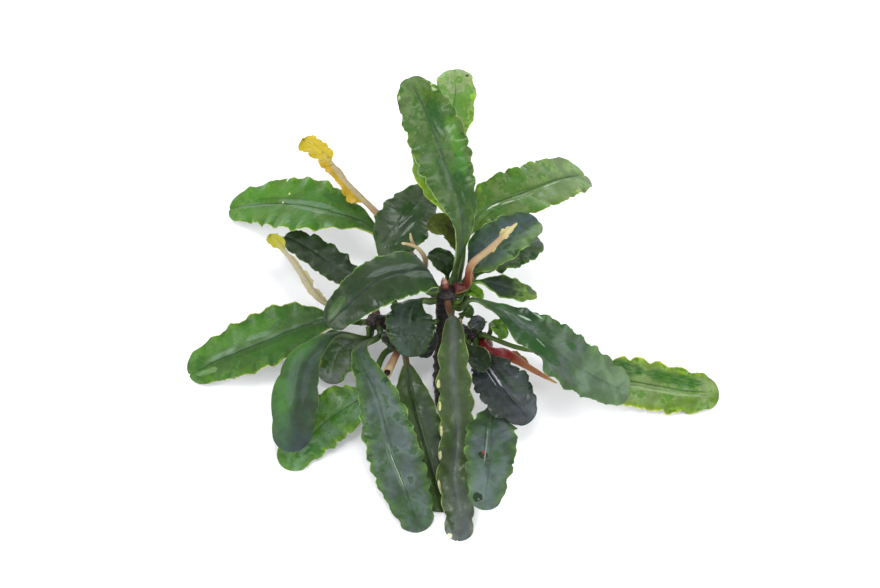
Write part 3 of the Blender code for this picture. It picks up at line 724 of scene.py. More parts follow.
            (0.3, 0.6, 0.1, 0.12, 0.35, (0.07, 0.1, 0.085), 0.7),
            (0.35, 0.55, -0.1, -0.05, 0.3, (0.07, 0.1, 0.085), 0.6),
        ),
    ),
    "leaf_left_low": Look(
        "bright", (1.2, 1.12, 1.9), veil=0.8, wet=0.3, wet_place=0.4, rib_share=0.6,
        rib=(0.015, 0.04, 0.012), edge_share=0.8,
    ),
    "leaf_left_curved": Look(
        "slate", (0.42, 0.5, 0.42), veil=0.35, wet=0.0, half=(0.03, 0.11, 0.01), half_side=1,
        half_share=0.85, tip=(0.012, 0.022, 0.026), tip_share=0.95, tip_from=0.86,
        rib=(0.02, 0.035, 0.025), margin_share=0.4, margin=(0.12, 0.15, 0.05), shade=0.7, edge_share=0.5,
        streaks=(
            (0.4, 0.78, 0.3, 0.2, 1.6, (0.06, 0.1, 0.07), 0.5),
            (0.35, 0.75, -0.3, -0.35, 1.2, (0.04, 0.06, 0.056), 0.45),
        ),
    ),
    # The high tint is painted light: it brightens a leaf that lies in the shade of the others.
    "leaf_left_hanging": Look(
        "deep", (4.2, 2.8, 4.0), veil=0.7, wet=0.2, margin_share=0.4, shade=0.15,
        spots=((0.78, 0.8, 1.3, (0.13, 0.22, 0.02)),),
    ),
    "leaf_left": Look(
        "bright", (0.68, 0.74, 0.6), veil=0.45, wet=0.6, wet_place=0.45, rib=(0.01, 0.03, 0.01),
        rib_share=0.85, rib_width=0.36, margin=(0.36, 0.4, 0.05), margin_width=0.34, shade=0.92,
        shade_to=0.55, edge_width=3.4, edge_share=0.85,
        streaks=(
            # The first, third and last streaks, pale grey-green, are painted glints and painted sheen.
            (0.52, 0.68, 0.2, 0.28, 0.9, (0.15, 0.23, 0.16), 0.5),
            (0.3, 0.92, 0.06, 0.05, 0.3, (0.05, 0.09, 0.05), 0.5),
            (0.84, 0.97, -0.3, -0.16, 1.1, (0.17, 0.27, 0.12), 0.55),
            (0.3, 0.9, -0.16, -0.12, 1.1, (0.01, 0.045, 0.002), 0.65),
            (0.45, 0.97, 0.52, 0.48, 2.6, (0.05, 0.17, 0.003), 0.45),
            (0.25, 0.6, -0.45, -0.5, 1.8, (0.02, 0.08, 0.002), 0.6),
            (0.72, 0.9, 0.14, 0.1, 0.7, (0.14, 0.2, 0.14), 0.5),
        ),
    ),
    "leaf_upper_left_small": Look(
        "deep", (0.7, 0.66, 0.58), veil=0.75, wet=0.3, margin_share=0.3, shade=0.3,
    ),
    "leaf_centre_left": Look(
        "slate", (0.42, 0.5, 0.2), veil=0.5, wet=0.6, wet_place=0.8, wet_reach=0.3,
        margin=(0.14, 0.24, 0.06), margin_share=0.8, margin_width=0.35, rib_share=0.7,
        rib=(0.008, 0.016, 0.014), rib_width=0.5, edge_share=0.9, edge_width=2.4, shade=0.8,
        spots=((0.36, 0.75, 1.0, (0.025, 0.075, 0.006)), (0.44, 0.85, 0.8, (0.03, 0.085, 0.008))),
        streaks=(
            (0.18, 0.55, 0.62, 0.82, 1.8, (0.008, 0.035, 0.002), 0.8),
            # The second and third streaks, silvery grey, are painted sheen.
            (0.16, 0.45, -0.25, -0.1, 1.5, (0.13, 0.17, 0.14), 0.4),
            (0.3, 0.66, 0.22, 0.34, 1.3, (0.12, 0.16, 0.14), 0.4),
            (0.24, 0.5, 0.02, 0.08, 0.6, (0.006, 0.016, 0.01), 0.8),
            (0.8, 0.98, 0.3, 0.1, 2.0, (0.035, 0.1, 0.008), 0.6),
        ),
    ),
    "leaf_olive_small": Look("olive", (1.1, 0.9, 0.4), veil=0.2, margin=(0.14, 0.2, 0.02)),
    "leaf_dark_small": Look("deep", (0.8, 0.8, 0.7), veil=0.1, margin=(0.12, 0.2, 0.02)),
    "leaf_centre_lower": Look(
        "deep", (0.75, 0.8, 0.9), veil=0.4, wet=0.5, half=(0.035, 0.058, 0.046), half_side=1,
        half_share=0.7, margin_share=0.4,
    ),
    "leaf_centre_back": Look("dusk", (0.6, 0.6, 0.6), veil=0.3, margin_share=0.1),
    "leaf_under_centre": Look("dusk", (0.9, 0.9, 0.8), veil=0.5, margin_share=0.3),
}


@dataclass
class StalkLook:
    """How one stalk is finished.

    tones are its four colours from root to tip, and stops the shares at which the last three are
    reached. flap colours what remains of a blade, and flecks lie over all.
    """

    tones: tuple
    stops: tuple
    flap: tuple = (0, 0, 0)
    flap_share: float = 0.0
    fleck: tuple = (0.1, 0.04, 0.015)
    fleck_share: float = 0.3
    seed: float = 0.0


STALK_LOOKS = {
    "young bud skin": StalkLook(
        ((0.05, 0.008, 0.006), (0.13, 0.03, 0.02), (0.3, 0.16, 0.12), (0.36, 0.25, 0.19)),
        (0.35, 0.7, 0.95), seed=3,
    ),
    # The fourth tone, near black deep inside the hollow end, is painted shade.
    "hollow stalk skin": StalkLook(
        ((0.12, 0.03, 0.02), (0.34, 0.2, 0.1), (0.42, 0.31, 0.17), (0.012, 0.008, 0.006)),
        (0.45, 1.0, 1.35), seed=5,
    ),
    "thin stalk skin": StalkLook(
        ((0.1, 0.04, 0.02), (0.2, 0.08, 0.03), (0.24, 0.12, 0.05), (0.3, 0.2, 0.1)),
        (0.3, 0.7, 1.0), seed=7,
    ),
    "forked stub skin": StalkLook(
        ((0.09, 0.04, 0.015), (0.2, 0.13, 0.055), (0.34, 0.27, 0.13), (0.5, 0.44, 0.26)),
        (0.3, 0.6, 1.0), seed=9,
    ),
    "old stalk upper left skin": StalkLook(
        ((0.16, 0.05, 0.03), (0.24, 0.13, 0.06), (0.29, 0.24, 0.13), (0.42, 0.32, 0.006)),
        (0.3, 0.5, 0.85), (0.38, 0.25, 0.004), 1.0, (0.14, 0.08, 0.003), 0.8, 61,
    ),
    "old stalk left skin": StalkLook(
        ((0.14, 0.06, 0.04), (0.15, 0.125, 0.05), (0.28, 0.25, 0.15), (0.27, 0.26, 0.01)),
        (0.3, 0.55, 0.93), (0.34, 0.29, 0.13), 0.8, (0.15, 0.12, 0.04), 0.5, 62,
    ),
    "old stalk right skin": StalkLook(
        ((0.06, 0.006, 0.006), (0.16, 0.035, 0.02), (0.29, 0.2, 0.11), (0.4, 0.35, 0.16)),
        (0.3, 0.55, 0.9), (0.36, 0.3, 0.07), 0.8, (0.19, 0.08, 0.03), 0.4, 63,
    ),
    "old stalk lower right skin": StalkLook(
        ((0.1, 0.002, 0.004), (0.26, 0.008, 0.01), (0.36, 0.12, 0.04), (0.42, 0.24, 0.05)),
        (0.36, 0.62, 0.95), (0.2, 0.12, 0.015), 0.9, (0.05, 0.006, 0.006), 0.5, 64,
    ),
}


def to_plant(route):
    """Turns points of a route (across, up, height) into x, y, z over the ground."""
    across, up, height = np.array(route, float).T
    depth = (up - height * math.cos(VIEW_HEIGHT)) / math.sin(VIEW_HEIGHT)
    return np.stack([across, depth, height], axis=1)


def smooth_curve(points, steps):
    """A natural cubic spline through the points, read at equal steps of its length."""
    points = np.array(points, float)
    knots = np.concatenate([[0], np.cumsum(np.linalg.norm(np.diff(points, axis=0), axis=1))])
    count = len(knots)
    gaps = np.diff(knots)
    system = np.eye(count)
    target = np.zeros((count, 3))
    for i in range(1, count - 1):
        system[i, i - 1 : i + 2] = gaps[i - 1], 2 * (gaps[i - 1] + gaps[i]), gaps[i]
        slope = np.diff(points[i - 1 : i + 2], axis=0) / gaps[i - 1 : i + 1, None]
        target[i] = 6 * (slope[1] - slope[0])
    bend = np.linalg.solve(system, target)
    where = np.linspace(0, knots[-1], 8 * steps)
    span = np.clip(np.searchsorted(knots, where, side="right") - 1, 0, count - 2)
    gap = gaps[span][:, None]
    before = (where - knots[span])[:, None]
    after = gap - before
    curve = (
        (bend[span] * after**3 + bend[span + 1] * before**3) / (6 * gap)
        + (points[span] / gap - bend[span] * gap / 6) * after
        + (points[span + 1] / gap - bend[span + 1] * gap / 6) * before
    )
    length = np.concatenate([[0], np.cumsum(np.linalg.norm(np.diff(curve, axis=0), axis=1))])
    even = np.linspace(0, length[-1], steps)
    return np.stack([np.interp(even, length, curve[:, k]) for k in range(3)], axis=1), length[-1]


def unit(vectors):
    """The vectors, each with a length of 1."""
    return vectors / np.linalg.norm(vectors, axis=-1, keepdims=True)


def smoothstep(value):
    """An S from 0 at 0 to 1 at 1."""
    value = np.clip(value, 0, 1)
    return value * value * (3 - 2 * value)


def bell(value, width):
    """1 at 0, and down to nothing on both sides like a bell of that width."""
    return np.exp(-((value / width) ** 2))


def window(value, start, end, soft=0.04):
    """1 between start and end, 0 outside, with soft ends."""
    return smoothstep((value - start) / soft + 0.5) * smoothstep((end - value) / soft + 0.5)


def drift(value, seed, beats=(1.0, 2.3, 4.1)):
    """A smooth wander between about -1 and 1: sines with phases drawn from the seed."""
    phases = np.random.default_rng(seed).uniform(0, 2 * math.pi, len(beats))
    shares = 1 / np.arange(1, len(beats) + 1)
    waves = [np.sin(2 * math.pi * beat * value + phase) for beat, phase in zip(beats, phases)]
    return sum(share * wave for share, wave in zip(shares, waves)) / shares.sum()


def margin_drift(left, value, seed, apart=100):
    """A wander of its own along either margin."""
    return np.where(left, drift(value, seed), drift(value, seed + apart))


def read_along(table, index):
    """Rows of a table with a point to each step of a line, read at broken row numbers."""
    steps = np.arange(SPINE_STEPS)
    return np.stack([np.interp(index, steps, table[:, k]) for k in range(3)], axis=-1)


def start_on_stem(stem, along, towards, reach):
    """Two points straight out from the stem's side that faces the point towards, reach apart."""
    line, _ = smooth_curve(to_plant(stem.route), SPINE_STEPS)
    index = round(along * (SPINE_STEPS - 1))
    direction = unit(np.gradient(line, axis=0))[index]
    radius = np.interp(along, np.linspace(0, 1, len(stem.radii)), stem.radii)
    out = towards - line[index]
    out = unit(out - direction * (out @ direction))
    root = line[index] + out * (radius + JOINT_GAP)
    return root, root + out * reach


def leaf_spine(leaf):
    """The midrib, its length, the way across the blade and the way out of its upper face."""
    route = to_plant(leaf.route)
    root = start_on_stem(STEMS[leaf.stem], leaf.along, route[0], ROOT_REACH * leaf.stalk_radius)
    line, length = smooth_curve(np.vstack([*root, route]), SPINE_STEPS)
    forward = unit(np.gradient(line, axis=0))
    heading = line[-1] - line[round(HEADING_FROM * SPINE_STEPS)]
    sideways = unit(np.array([heading[1], -heading[0], 0.0]))
    across = unit(sideways - forward * (forward @ sideways)[:, None])
    return line, length, across, np.cross(across, forward)


def lay_on_midrib(leaf, place, out, lift):
    """Points at a share of the midrib, so far out across the blade and so far up from it.

    A share below 0 goes on straight behind the root, into the stem.
    """
    line, length, sideways, upper = leaf_spine(leaf)
    index = np.clip(place, 0, 1) * (SPINE_STEPS - 1)
    behind = (np.minimum(place, 0) * length)[..., None] * unit(line[1] - line[0])
    spread = read_along(sideways, index) * out[..., None]
    return read_along(line, index) + behind + spread + read_along(upper, index) * lift[..., None]


def foot_swell(distance):
    """How much thicker a leaf or stalk is at that distance from its stem."""
    return 1 + FOOT_SWELL * bell(distance, FOOT_REACH)


def tip_thinning(share):
    """A round end: 1 along a leaf, and along a parabola down to 0 at its tip."""
    return np.sqrt(np.clip((1 - share) / TIP_THINS, 0, 1))


def leaf_points(leaf, share, across, over):
    """Points of the leaf's skin at a share of its length, across and over it, and what lies there.

    The half width grows from the stalk's radius along a sine, is widest at that share of the blade,
    and narrows along a parabola to the blunt tip, which an arc rounds off. Sine waves along each
    margin lift it with a power of the distance from the midrib, and rounded lobes with sharp
    notches, a power of a sine's size, widen it; their height and beat wander along the margin, and
    a quicker small wave rides on them. The fold lifts both halves, a narrow bell sinks the midrib's
    groove and the creases, and slow swells keep the blade from being flat. The skin stands half the
    blade's thickness over and under that surface, and the keel is another bell under it.
    The second result holds millimetres along, millimetres across and millimetres to the margin, and
    the third says how far a wave lifts or sinks the margin.
    """
    make = bpy.context.scene.plant_leaves
    _, length, _, _ = leaf_spine(leaf)
    blade = np.clip((share - leaf.stalk_share) / (1 - leaf.stalk_share), 0, 1)
    grown = np.sin(np.clip(blade / leaf.widest, 0, 1) * math.pi / 2) ** leaf.wedge
    narrowed = 1 - (1 - leaf.blunt) * np.clip((blade - leaf.widest) / (1 - leaf.widest), 0, 1) ** 2
    half = leaf.stalk_radius + (leaf.width / 2 - leaf.stalk_radius) * grown * narrowed
    arc = smoothstep((blade - TIP_FROM) / (1 - TIP_FROM)) * (1 - np.sqrt(1 - across**2))
    place = share - arc * min(leaf.blunt * leaf.width / 2 / length, TIP_ARC_LIMIT)
    beat = (place - leaf.stalk_share) / (1 - leaf.stalk_share)
    flat = smoothstep(blade / BLADE_OPEN)

    left = across < 0
    swell = margin_drift(left, beat * SWELL_BEAT, leaf.seed)
    slip = margin_drift(left, beat * SLIP_BEAT, leaf.seed + 200)
    rag = margin_drift(left, beat * leaf.waves * RAG_BEAT, leaf.seed + 400)
    phase = 2 * math.pi * leaf.waves * beat + SLIP * slip
    rim = flat * np.abs(across) ** RIM_POWER * (1 + SWELL * swell)
    crest = rim * (np.sin(phase) + QUICK_WAVE * np.sin(QUICK_BEAT * phase + leaf.seed))
    lobed = rim * (np.abs(np.sin(phase * leaf.lobes / 2)) ** LOBE_POWER - LOBE_MEAN)
    widen = (1 + leaf.scallop * lobed) * (1 + leaf.ragged * RAG * flat * rag * across**2)
    lift = leaf.ruffle * make.ruffle * crest
    for at, side, depth, reach in leaf.notches:
        widen = widen * (1 - depth * bell(share - at, reach) * np.clip(across * side, 0, 1))
    for side, start, end, height in leaf.rolls:
        turned = window(share, start, end) * np.clip(across * side, 0, 1) ** 4
        lift = lift + height * turned
        widen = widen * (1 - ROLL_IN * turned)
    out = across * half * widen

    lift = lift + leaf.fold * half * (np.sqrt(across**2 + FOLD_ROUND) - math.sqrt(FOLD_ROUND))
    undulation = drift(beat * UNDULATION_BEAT + UNDULATION_SLANT * np.abs(across), leaf.seed + 600)
    lift = lift + flat * make.undulation / MM * undulation
    lift = lift - leaf.groove * make.groove / USUAL_GROOVE * flat * bell(out, GROOVE_WIDTH)
    for lane, start, end, depth in leaf.creases:
        crease = window(share, start, end, CREASE_ENDS) * bell((across - lane) * half, CREASE_WIDTH)
        lift = lift - depth * crease
    thick = leaf.stalk_radius * (1 - flat) + make.thickness / MM / 2 * flat
    thick = thick * tip_thinning(share) * foot_swell(share * length)
    keel = flat * bell(out, KEEL_WIDTH) * np.clip((1 - share) / KEEL_FADE, 0, 1) * make.keel / MM
    lift = lift + over * (thick + np.where(over < 0, keel, 0))
    edge = (1 - np.abs(across)) * half
    points = lay_on_midrib(leaf, place, out, lift)
    return points, np.stack([place * length, out, edge], axis=-1), crest


def stalk_points(stalk, share, across, over):
    """Points of an old stalk's skin: a round rod with the ragged rest of its blade on either side.

    Across the rod the height is that of a circle, and the thin sheet of a flap goes on from it.
    The half width on each side is the rod's radius and the flaps there, each a window along the
    stalk whose rim wanders, and a sine wave turns the flaps up. The rod swells where it meets its
    stem and closes round at the tip.
    The second result holds millimetres along, across and beyond the rod, and the third the width
    of the flap.
    """
    _, length, _, _ = leaf_spine(stalk)
    lumps = 1 + ROD_LUMPS * drift(share * length / ROD_LUMP_LENGTH, stalk.seed + 5)
    rod = np.interp(share, np.linspace(0, 1, len(stalk.rod)), stalk.rod)
    rod = rod * foot_swell(share * length) * lumps
    left = across < 0
    flap = np.zeros(share.shape)
    for start, end, side, out in stalk.flaps:
        flap = flap + np.where(left == (side < 0), out * window(share, start, end, FLAP_ENDS), 0)
    flap = flap * (1 + stalk.ragged * margin_drift(left, share * FLAP_RAG_BEAT, stalk.seed + 1, 1))
    out = across * (rod + flap)
    beyond = np.abs(out) - rod
    round_part = np.sqrt(np.clip(rod**2 - out**2, 0, None))
    sheet = SHEET * np.abs(over) * smoothstep(flap / SHEET_FADE)
    turn = 4 * math.pi * stalk.waves * share + 2.0 * left
    curl = stalk.fold * np.clip(beyond, 0, None) * (1 + np.sin(turn))
    closed = tip_thinning(share)
    lift = curl + np.sign(over) * np.maximum(round_part, sheet) * closed
    points = lay_on_midrib(stalk, share, out * closed, lift)
    return points, np.stack([share * length, out, beyond], axis=-1), flap


def ring_lanes(lanes):
    """Where a ring's points lie across and over: over the upper face from -1 to 1, then back under.

    The points crowd together at the midrib and at both margins.
    """
    even = np.linspace(-1, 1, lanes + 1)
    across = np.sin(np.sign(even) * np.abs(even) ** LANE_CROWD * math.pi / 2)
    over = np.sqrt(np.clip(1 - across**2, 0, 1))
    return np.concatenate([across[:-1], across[:0:-1]]), np.concatenate([over[:-1], -over[:0:-1]])


def tube_faces(rings, ring_size):
    """Four-sided faces between each ring and the next, as rows of point numbers."""
    here = np.arange(ring_size)
    after = (here + 1) % ring_size
    start = np.arange(rings - 1)[:, None] * ring_size
    corners = (start + here, start + after, start + ring_size + after, start + ring_size + here)
    return np.stack(np.broadcast_arrays(*corners), axis=-1).reshape(-1, 4)


def add_mesh(name, points, faces, readings):
    """A smooth mesh in metres from points in millimetres, with its readings as point attributes."""
    mesh = bpy.data.meshes.new(name)
    mesh.from_pydata((points * MM).tolist(), [], faces)
    for key, values in readings.items():
        kind, field = ("FLOAT_VECTOR", "vector") if values.ndim == 2 else ("FLOAT", "value")
        attribute = mesh.attributes.new(key, kind, "POINT")
        attribute.data.foreach_set(field, values.astype(np.float32).ravel())
    mesh.shade_smooth()
    mesh.update()
    piece = bpy.data.objects.new(name, mesh)
    bpy.context.scene.collection.objects.link(piece)
    return piece


def leaf_mesh(leaf, name, points_at):
    """One closed skin: rings along the leaf, a cap inside the stem, the last ring folded flat and sewn."""
    _, length, _, _ = leaf_spine(leaf)
    count = LEAF_STATIONS if length > SMALL_LEAF else SMALL_LEAF_STATIONS
    tip_reach = TIP_THINS * 1.5
    run = np.linspace(0, 1, count) * (1 - tip_reach)
    tip = 1 - tip_reach * (1 - np.sin(np.linspace(0, 1, 9)[1:] * math.pi / 2))
    share = np.concatenate([[-SHEATH_DEPTH / length], run, tip])[:, None]
    share, across, over = np.broadcast_arrays(share, *ring_lanes(LEAF_LANES))
    points, place, crest = points_at(leaf, share, across, over)
    rings, ring_size = share.shape
    last = (rings - 1) * ring_size
    lane = np.arange(ring_size)
    sewn = np.arange(rings * ring_size)
    sewn[last:] = last + np.where(lane <= LEAF_LANES, lane, ring_size - lane)
    faces = sewn[tube_faces(rings, ring_size)].tolist()
    faces.append(list(range(ring_size))[::-1])
    kept = last + LEAF_LANES + 1
    readings = {"place": place.reshape(-1, 3), "face": over.reshape(-1), "crest": crest.reshape(-1)}
    readings = {key: values[:kept] for key, values in readings.items()}
    return add_mesh(name, points.reshape(-1, 3)[:kept], faces, readings)


def stem_points(stem, stations, radii, turn):
    """Points round the stem's line: at each station the circle of that radius stands across the line."""
    line, length = smooth_curve(to_plant(stem.route), SPINE_STEPS)
    forward = unit(np.gradient(line, axis=0))
    level = np.array([1.0, 0, 0]) if abs(forward[0, 0]) < 0.7 else np.array([0, 0, 1.0])
    side = unit(np.cross(forward, level))
    within = np.clip(stations, 0, 1)
    tables = (line, forward, side, np.cross(side, forward))
    index = within * (SPINE_STEPS - 1)
    line, forward, side, up = (read_along(table, index)[:, None] for table in tables)
    ahead = ((stations - within) * length)[:, None, None] * forward
    around = np.cos(turn)[None, :, None] * side + np.sin(turn)[None, :, None] * up
    return line + ahead + around * radii[..., None]


def stem_mesh(name, layers):
    """Joins closed tubes, each given as rings of points whose first and last rings are single points."""
    points, faces, shares = [], [], []
    offset = 0
    for rings, share in layers:
        count, size, _ = rings.shape
        here = np.arange(size)
        after = (here + 1) % size
        tail = offset + 1 + (count - 3) * size
        end_point = tail + size
        start = np.stack([np.full(size, offset), offset + 1 + after, offset + 1 + here], axis=1)
        end = np.stack([tail + here, tail + after, np.full(size, end_point)], axis=1)
        body = tube_faces(count - 2, size) + offset + 1
        faces += start.tolist() + body.tolist() + end.tolist()
        points += [rings[0, :1], rings[1:-1].reshape(-1, 3), rings[-1, :1]]
        shares += [share[:1], np.repeat(share[1:-1], size), share[-1:]]
        offset = end_point + 1
    return add_mesh(name, np.vstack(points), faces, {"share": np.concatenate(shares)})


class Wiring:
    """Adds nodes to a tree. A value that is a socket is linked, and any other is set."""

    def __init__(self, tree):
        self.tree = tree

    def fill(self, node, values):
        """Links or sets the node's inputs."""
        for key, value in dict(values).items():
            if isinstance(value, bpy.types.NodeSocket):
                self.tree.links.new(value, node.inputs[key])
            else:
                node.inputs[key].default_value = value
        return node

    def add(self, kind, values=(), output=0, **settings):
        """An output of a new node with these settings and inputs."""
        node = self.tree.nodes.new(kind)
        for name, value in settings.items():
            setattr(node, name, value)
        return self.fill(node, values).outputs[output]

    def group(self, tree, values):
        """Puts a group into the material with its own values."""
        node = self.tree.nodes.new("ShaderNodeGroup")
        node.node_tree = tree
        return self.fill(node, values).outputs

    def math(self, operation, first, second=0.0, third=0.0):
        return self.add("ShaderNodeMath", {0: first, 1: second, 2: third}, operation=operation)

    def plus(self, first, second):
        return self.math("ADD", first, second)

    def minus(self, first, second):
        return self.math("SUBTRACT", first, second)

    def times(self, first, second):
        return self.math("MULTIPLY", first, second)

    def times_plus(self, first, second, third):
        return self.math("MULTIPLY_ADD", first, second, third)

    def divide(self, first, second):
        return self.math("DIVIDE", first, second)

    def absolute(self, value):
        return self.math("ABSOLUTE", value)

    def mix(self, share, first, second):
        return self.add("ShaderNodeMix", {0: share, 6: first, 7: second}, 2, data_type="RGBA")

    def tinted(self, first, second):
        values = {0: 1.0, 6: first, 7: second}
        return self.add("ShaderNodeMix", values, 2, data_type="RGBA", blend_type="MULTIPLY")

    def dimmed(self, colour, value):
        """The colour, times a value."""
        return self.tinted(colour, self.add("ShaderNodeCombineColor", {0: value, 1: value, 2: value}))

    def step(self, value, low, high):
        """0 below low and 1 above high, with an S between. Low may be the greater."""
        values = {0: value, 1: low, 2: high}
        return self.add("ShaderNodeMapRange", values, interpolation_type="SMOOTHSTEP")

    def noise(self, place, scale, detail=3.0, roughness=0.55, distortion=0.0):
        values = {
            "Vector": place, "Scale": scale, "Detail": detail, "Roughness": roughness,
            "Distortion": distortion,
        }
        return self.add("ShaderNodeTexNoise", values)

    def join(self, first, second=0.0, third=0.0):
        return self.add("ShaderNodeCombineXYZ", {0: first, 1: second, 2: third})

    def split(self, vector):
        return self.fill(self.tree.nodes.new("ShaderNodeSeparateXYZ"), {0: vector}).outputs

    def reading(self, name, output="Fac"):
        """A point attribute of the mesh."""
        return self.add("ShaderNodeAttribute", output=output, attribute_name=name)

    def millimetres(self):
        """The object's own coordinates in millimetres."""
        place = self.add("ShaderNodeTexCoord", output="Object")
        return self.add("ShaderNodeVectorMath", {0: place, "Scale": 1 / MM}, operation="SCALE")


def new_group(name, inputs, outputs):
    """An empty node group with those named sockets, its wiring, its inputs and its output node."""
    tree = bpy.data.node_groups.new(name, "ShaderNodeTree")
    for label, value in inputs.items():
        kind = "NodeSocketFloat"
        if isinstance(value, tuple):
            kind = "NodeSocketColor" if len(value) == 4 else "NodeSocketVector"
        tree.interface.new_socket(label, in_out="INPUT", socket_type=kind).default_value = value
    for label in outputs:
        kind = "NodeSocketColor" if label == "Color" else "NodeSocketFloat"
        tree.interface.new_socket(label, in_out="OUTPUT", socket_type=kind)
    given = tree.nodes.new("NodeGroupInput").outputs
    return tree, Wiring(tree), given, tree.nodes.new("NodeGroupOutput")


def opaque(colour):
    return (*colour, 1.0)


def leaf_skin():
    """The skin of a leaf: green blade with a grey bloom that is partly painted sheen, smooth wet blotches,
    painted highlight and shade on the waves, midrib, veins and margin.
    """
    name = "leaf skin"
    if name in bpy.data.node_groups:
        return bpy.data.node_groups[name]
    inputs = {
        "Place": (0.0, 0.0, 0.0), "Face": 1.0, "Crest": 0.0, "Seed": 0.0, "Blade Start": 10.0,
        "Length": 50.0, "Roughness": 0.45, "Blade Colour": BLACK, "Bloom Colour": BLACK,
        "Wet Colour": BLACK, "Edge Colour": BLACK, "Under Colour": BLACK, **Look("bright").sockets(),
    }
    tree, wires, given, out = new_group(name, inputs, ("Color", "Roughness", "Coat", "Height"))
    along, rib, edge = wires.split(given["Place"])
    share = wires.divide(along, given["Length"])
    off_rib = wires.absolute(rib)
    spot = wires.join(along, rib, given["Seed"])
    broad = wires.noise(spot, 0.16, 3.0, 0.6)
    blotch = wires.noise(spot, 0.24, 2.5, 0.5, 0.5)
    ripple = wires.noise(spot, 0.9, 2.0, 0.5)
    fine = wires.noise(spot, 2.4, 3.0, 0.6)
    cells = wires.noise(spot, 7.0, 2.0, 0.6)

    # The blade's green, with the second colour of one side and a greener zone along the margins.
    side = wires.step(wires.times(rib, given["Half Side"]), -1.2, 2.8)
    blade = wires.mix(wires.times(side, given["Half Share"]), given["Blade Colour"], given["Half"])
    wander = wires.times_plus(wires.minus(ripple, 0.5), 3.0, edge)
    green_edge = wires.times(wires.step(wander, given["Edge Width"], 0.2), given["Edge Share"])
    blade = wires.mix(green_edge, blade, given["Edge Colour"])

    # The bloom, which is partly the leaf's grey bloom and partly painted sheen from the lights, the tip's
    # colour and the blotches where the bloom is wet.
    bloom = wires.times(wires.step(broad, 0.34, 0.63), wires.step(wander, 0.2, 2.4))
    bloom = wires.times(bloom, given["Veil"])
    blade = wires.mix(bloom, blade, given["Bloom Colour"])
    towards_tip = wires.plus(share, wires.times(broad, 0.2))
    tip = wires.step(towards_tip, given["Tip From"], wires.plus(given["Tip From"], 0.3))
    blade = wires.mix(wires.times(tip, given["Tip Share"]), blade, given["Tip"])
    reach = wires.divide(wires.minus(share, given["Wet Place"]), given["Wet Reach"])
    near = wires.minus(1.0, wires.times(reach, reach))
    level = wires.times(wires.times(given["Wet"], 0.22), near)
    patchy = wires.times_plus(wires.minus(ripple, 0.5), 0.35, blotch)
    wet = wires.step(wires.plus(patchy, level), 0.56, 0.66)
    wet = wires.times(wet, wires.step(given["Wet"], 0.0, 0.1))
    blade = wires.mix(wires.times(wet, 0.75), blade, given["Wet Colour"])

    # Slanting veins, and shade towards the stalk.
    slant = wires.minus(along, wires.times(off_rib, 0.9))
    beat = wires.plus(wires.times(slant, 2.6), wires.times(broad, 7.0))
    vein = wires.math("POWER", wires.times_plus(wires.math("SINE", beat), 0.5, 0.5), 5.0)
    vein = wires.times(vein, wires.step(edge, 0.3, 1.6))
    blade = wires.mix(wires.times(vein, 0.07), blade, wires.tinted(blade, (0.45, 0.55, 0.45, 1)))
    shade = wires.step(share, given["Shade To"], wires.times(given["Shade To"], 0.3))
    shade = wires.times(shade, given["Shade"])
    blade = wires.mix(shade, blade, wires.tinted(blade, (0.28, 0.36, 0.3, 1)))

    # The midrib's line, which fades at both ends, and the pale margin.
    apart = wires.absolute(wires.minus(off_rib, given["Rib Apart"]))
    ribbed = wires.step(apart, given["Rib Width"], wires.times(given["Rib Width"], 0.1))
    ribbed = wires.times(ribbed, wires.step(along, 2.0, 8.0))
    fade = wires.step(wires.minus(given["Length"], along), 0.8, 7.0)
    ribbed = wires.times(wires.times(ribbed, fade), given["Rib Share"])
    blade = wires.mix(ribbed, blade, given["Rib"])
    wide = wires.times(given["Margin Width"], wires.plus(0.45, wires.times(fine, 1.3)))
    margin = wires.times(wires.step(edge, wide, wires.times(wide, 0.3)), given["Margin Share"])
    blade = wires.mix(margin, blade, given["Margin"])

    # The stalk, the underside, painted highlight on the waves' crests and painted shade in their troughs,
    # and the mottling of it all.
    start = given["Blade Start"]
    green = wires.step(along, wires.times(start, 0.35), wires.times(start, 1.3))
    blade = wires.mix(green, given["Base"], blade)
    under = wires.step(given["Face"], 0.0, -0.25)
    blade = wires.mix(wires.times(under, 0.75), blade, given["Under Colour"])
    # Painted highlight and painted shade: the waves' crests are lightened as if they caught the light, and
    # their troughs darkened as if shaded.
    light = wires.times(wires.step(given["Crest"], 0.15, 0.9), given["Crest Share"])
    blade = wires.mix(light, blade, wires.tinted(blade, (1.7, 1.6, 1.45, 1)))
    dark = wires.times(wires.step(given["Crest"], -0.1, -0.85), given["Crest Share"])
    blade = wires.mix(dark, blade, wires.tinted(blade, (0.4, 0.5, 0.4, 1)))
    mottle = wires.times_plus(wires.step(blotch, 0.36, 0.64), 0.45, 0.78)
    blade = wires.dimmed(blade, wires.times(wires.times_plus(fine, 0.5, 0.75), mottle))

    rough = wires.times_plus(bloom, 0.16, given["Roughness"])
    rough = wires.times_plus(wires.minus(fine, 0.5), 0.16, rough)
    rough = wires.times_plus(wet, -0.16, rough)
    coat = wires.times(wires.times(wet, 0.25), wires.step(under, 1.0, 0.0))
    height = wires.times_plus(vein, -0.08, wires.times(broad, 0.8))
    for relief, weight in ((ripple, 0.22), (fine, 0.05), (cells, 0.015)):
        height = wires.times_plus(relief, weight, height)
    wires.fill(out, {"Color": blade, "Roughness": rough, "Coat": coat, "Height": height})
    return tree


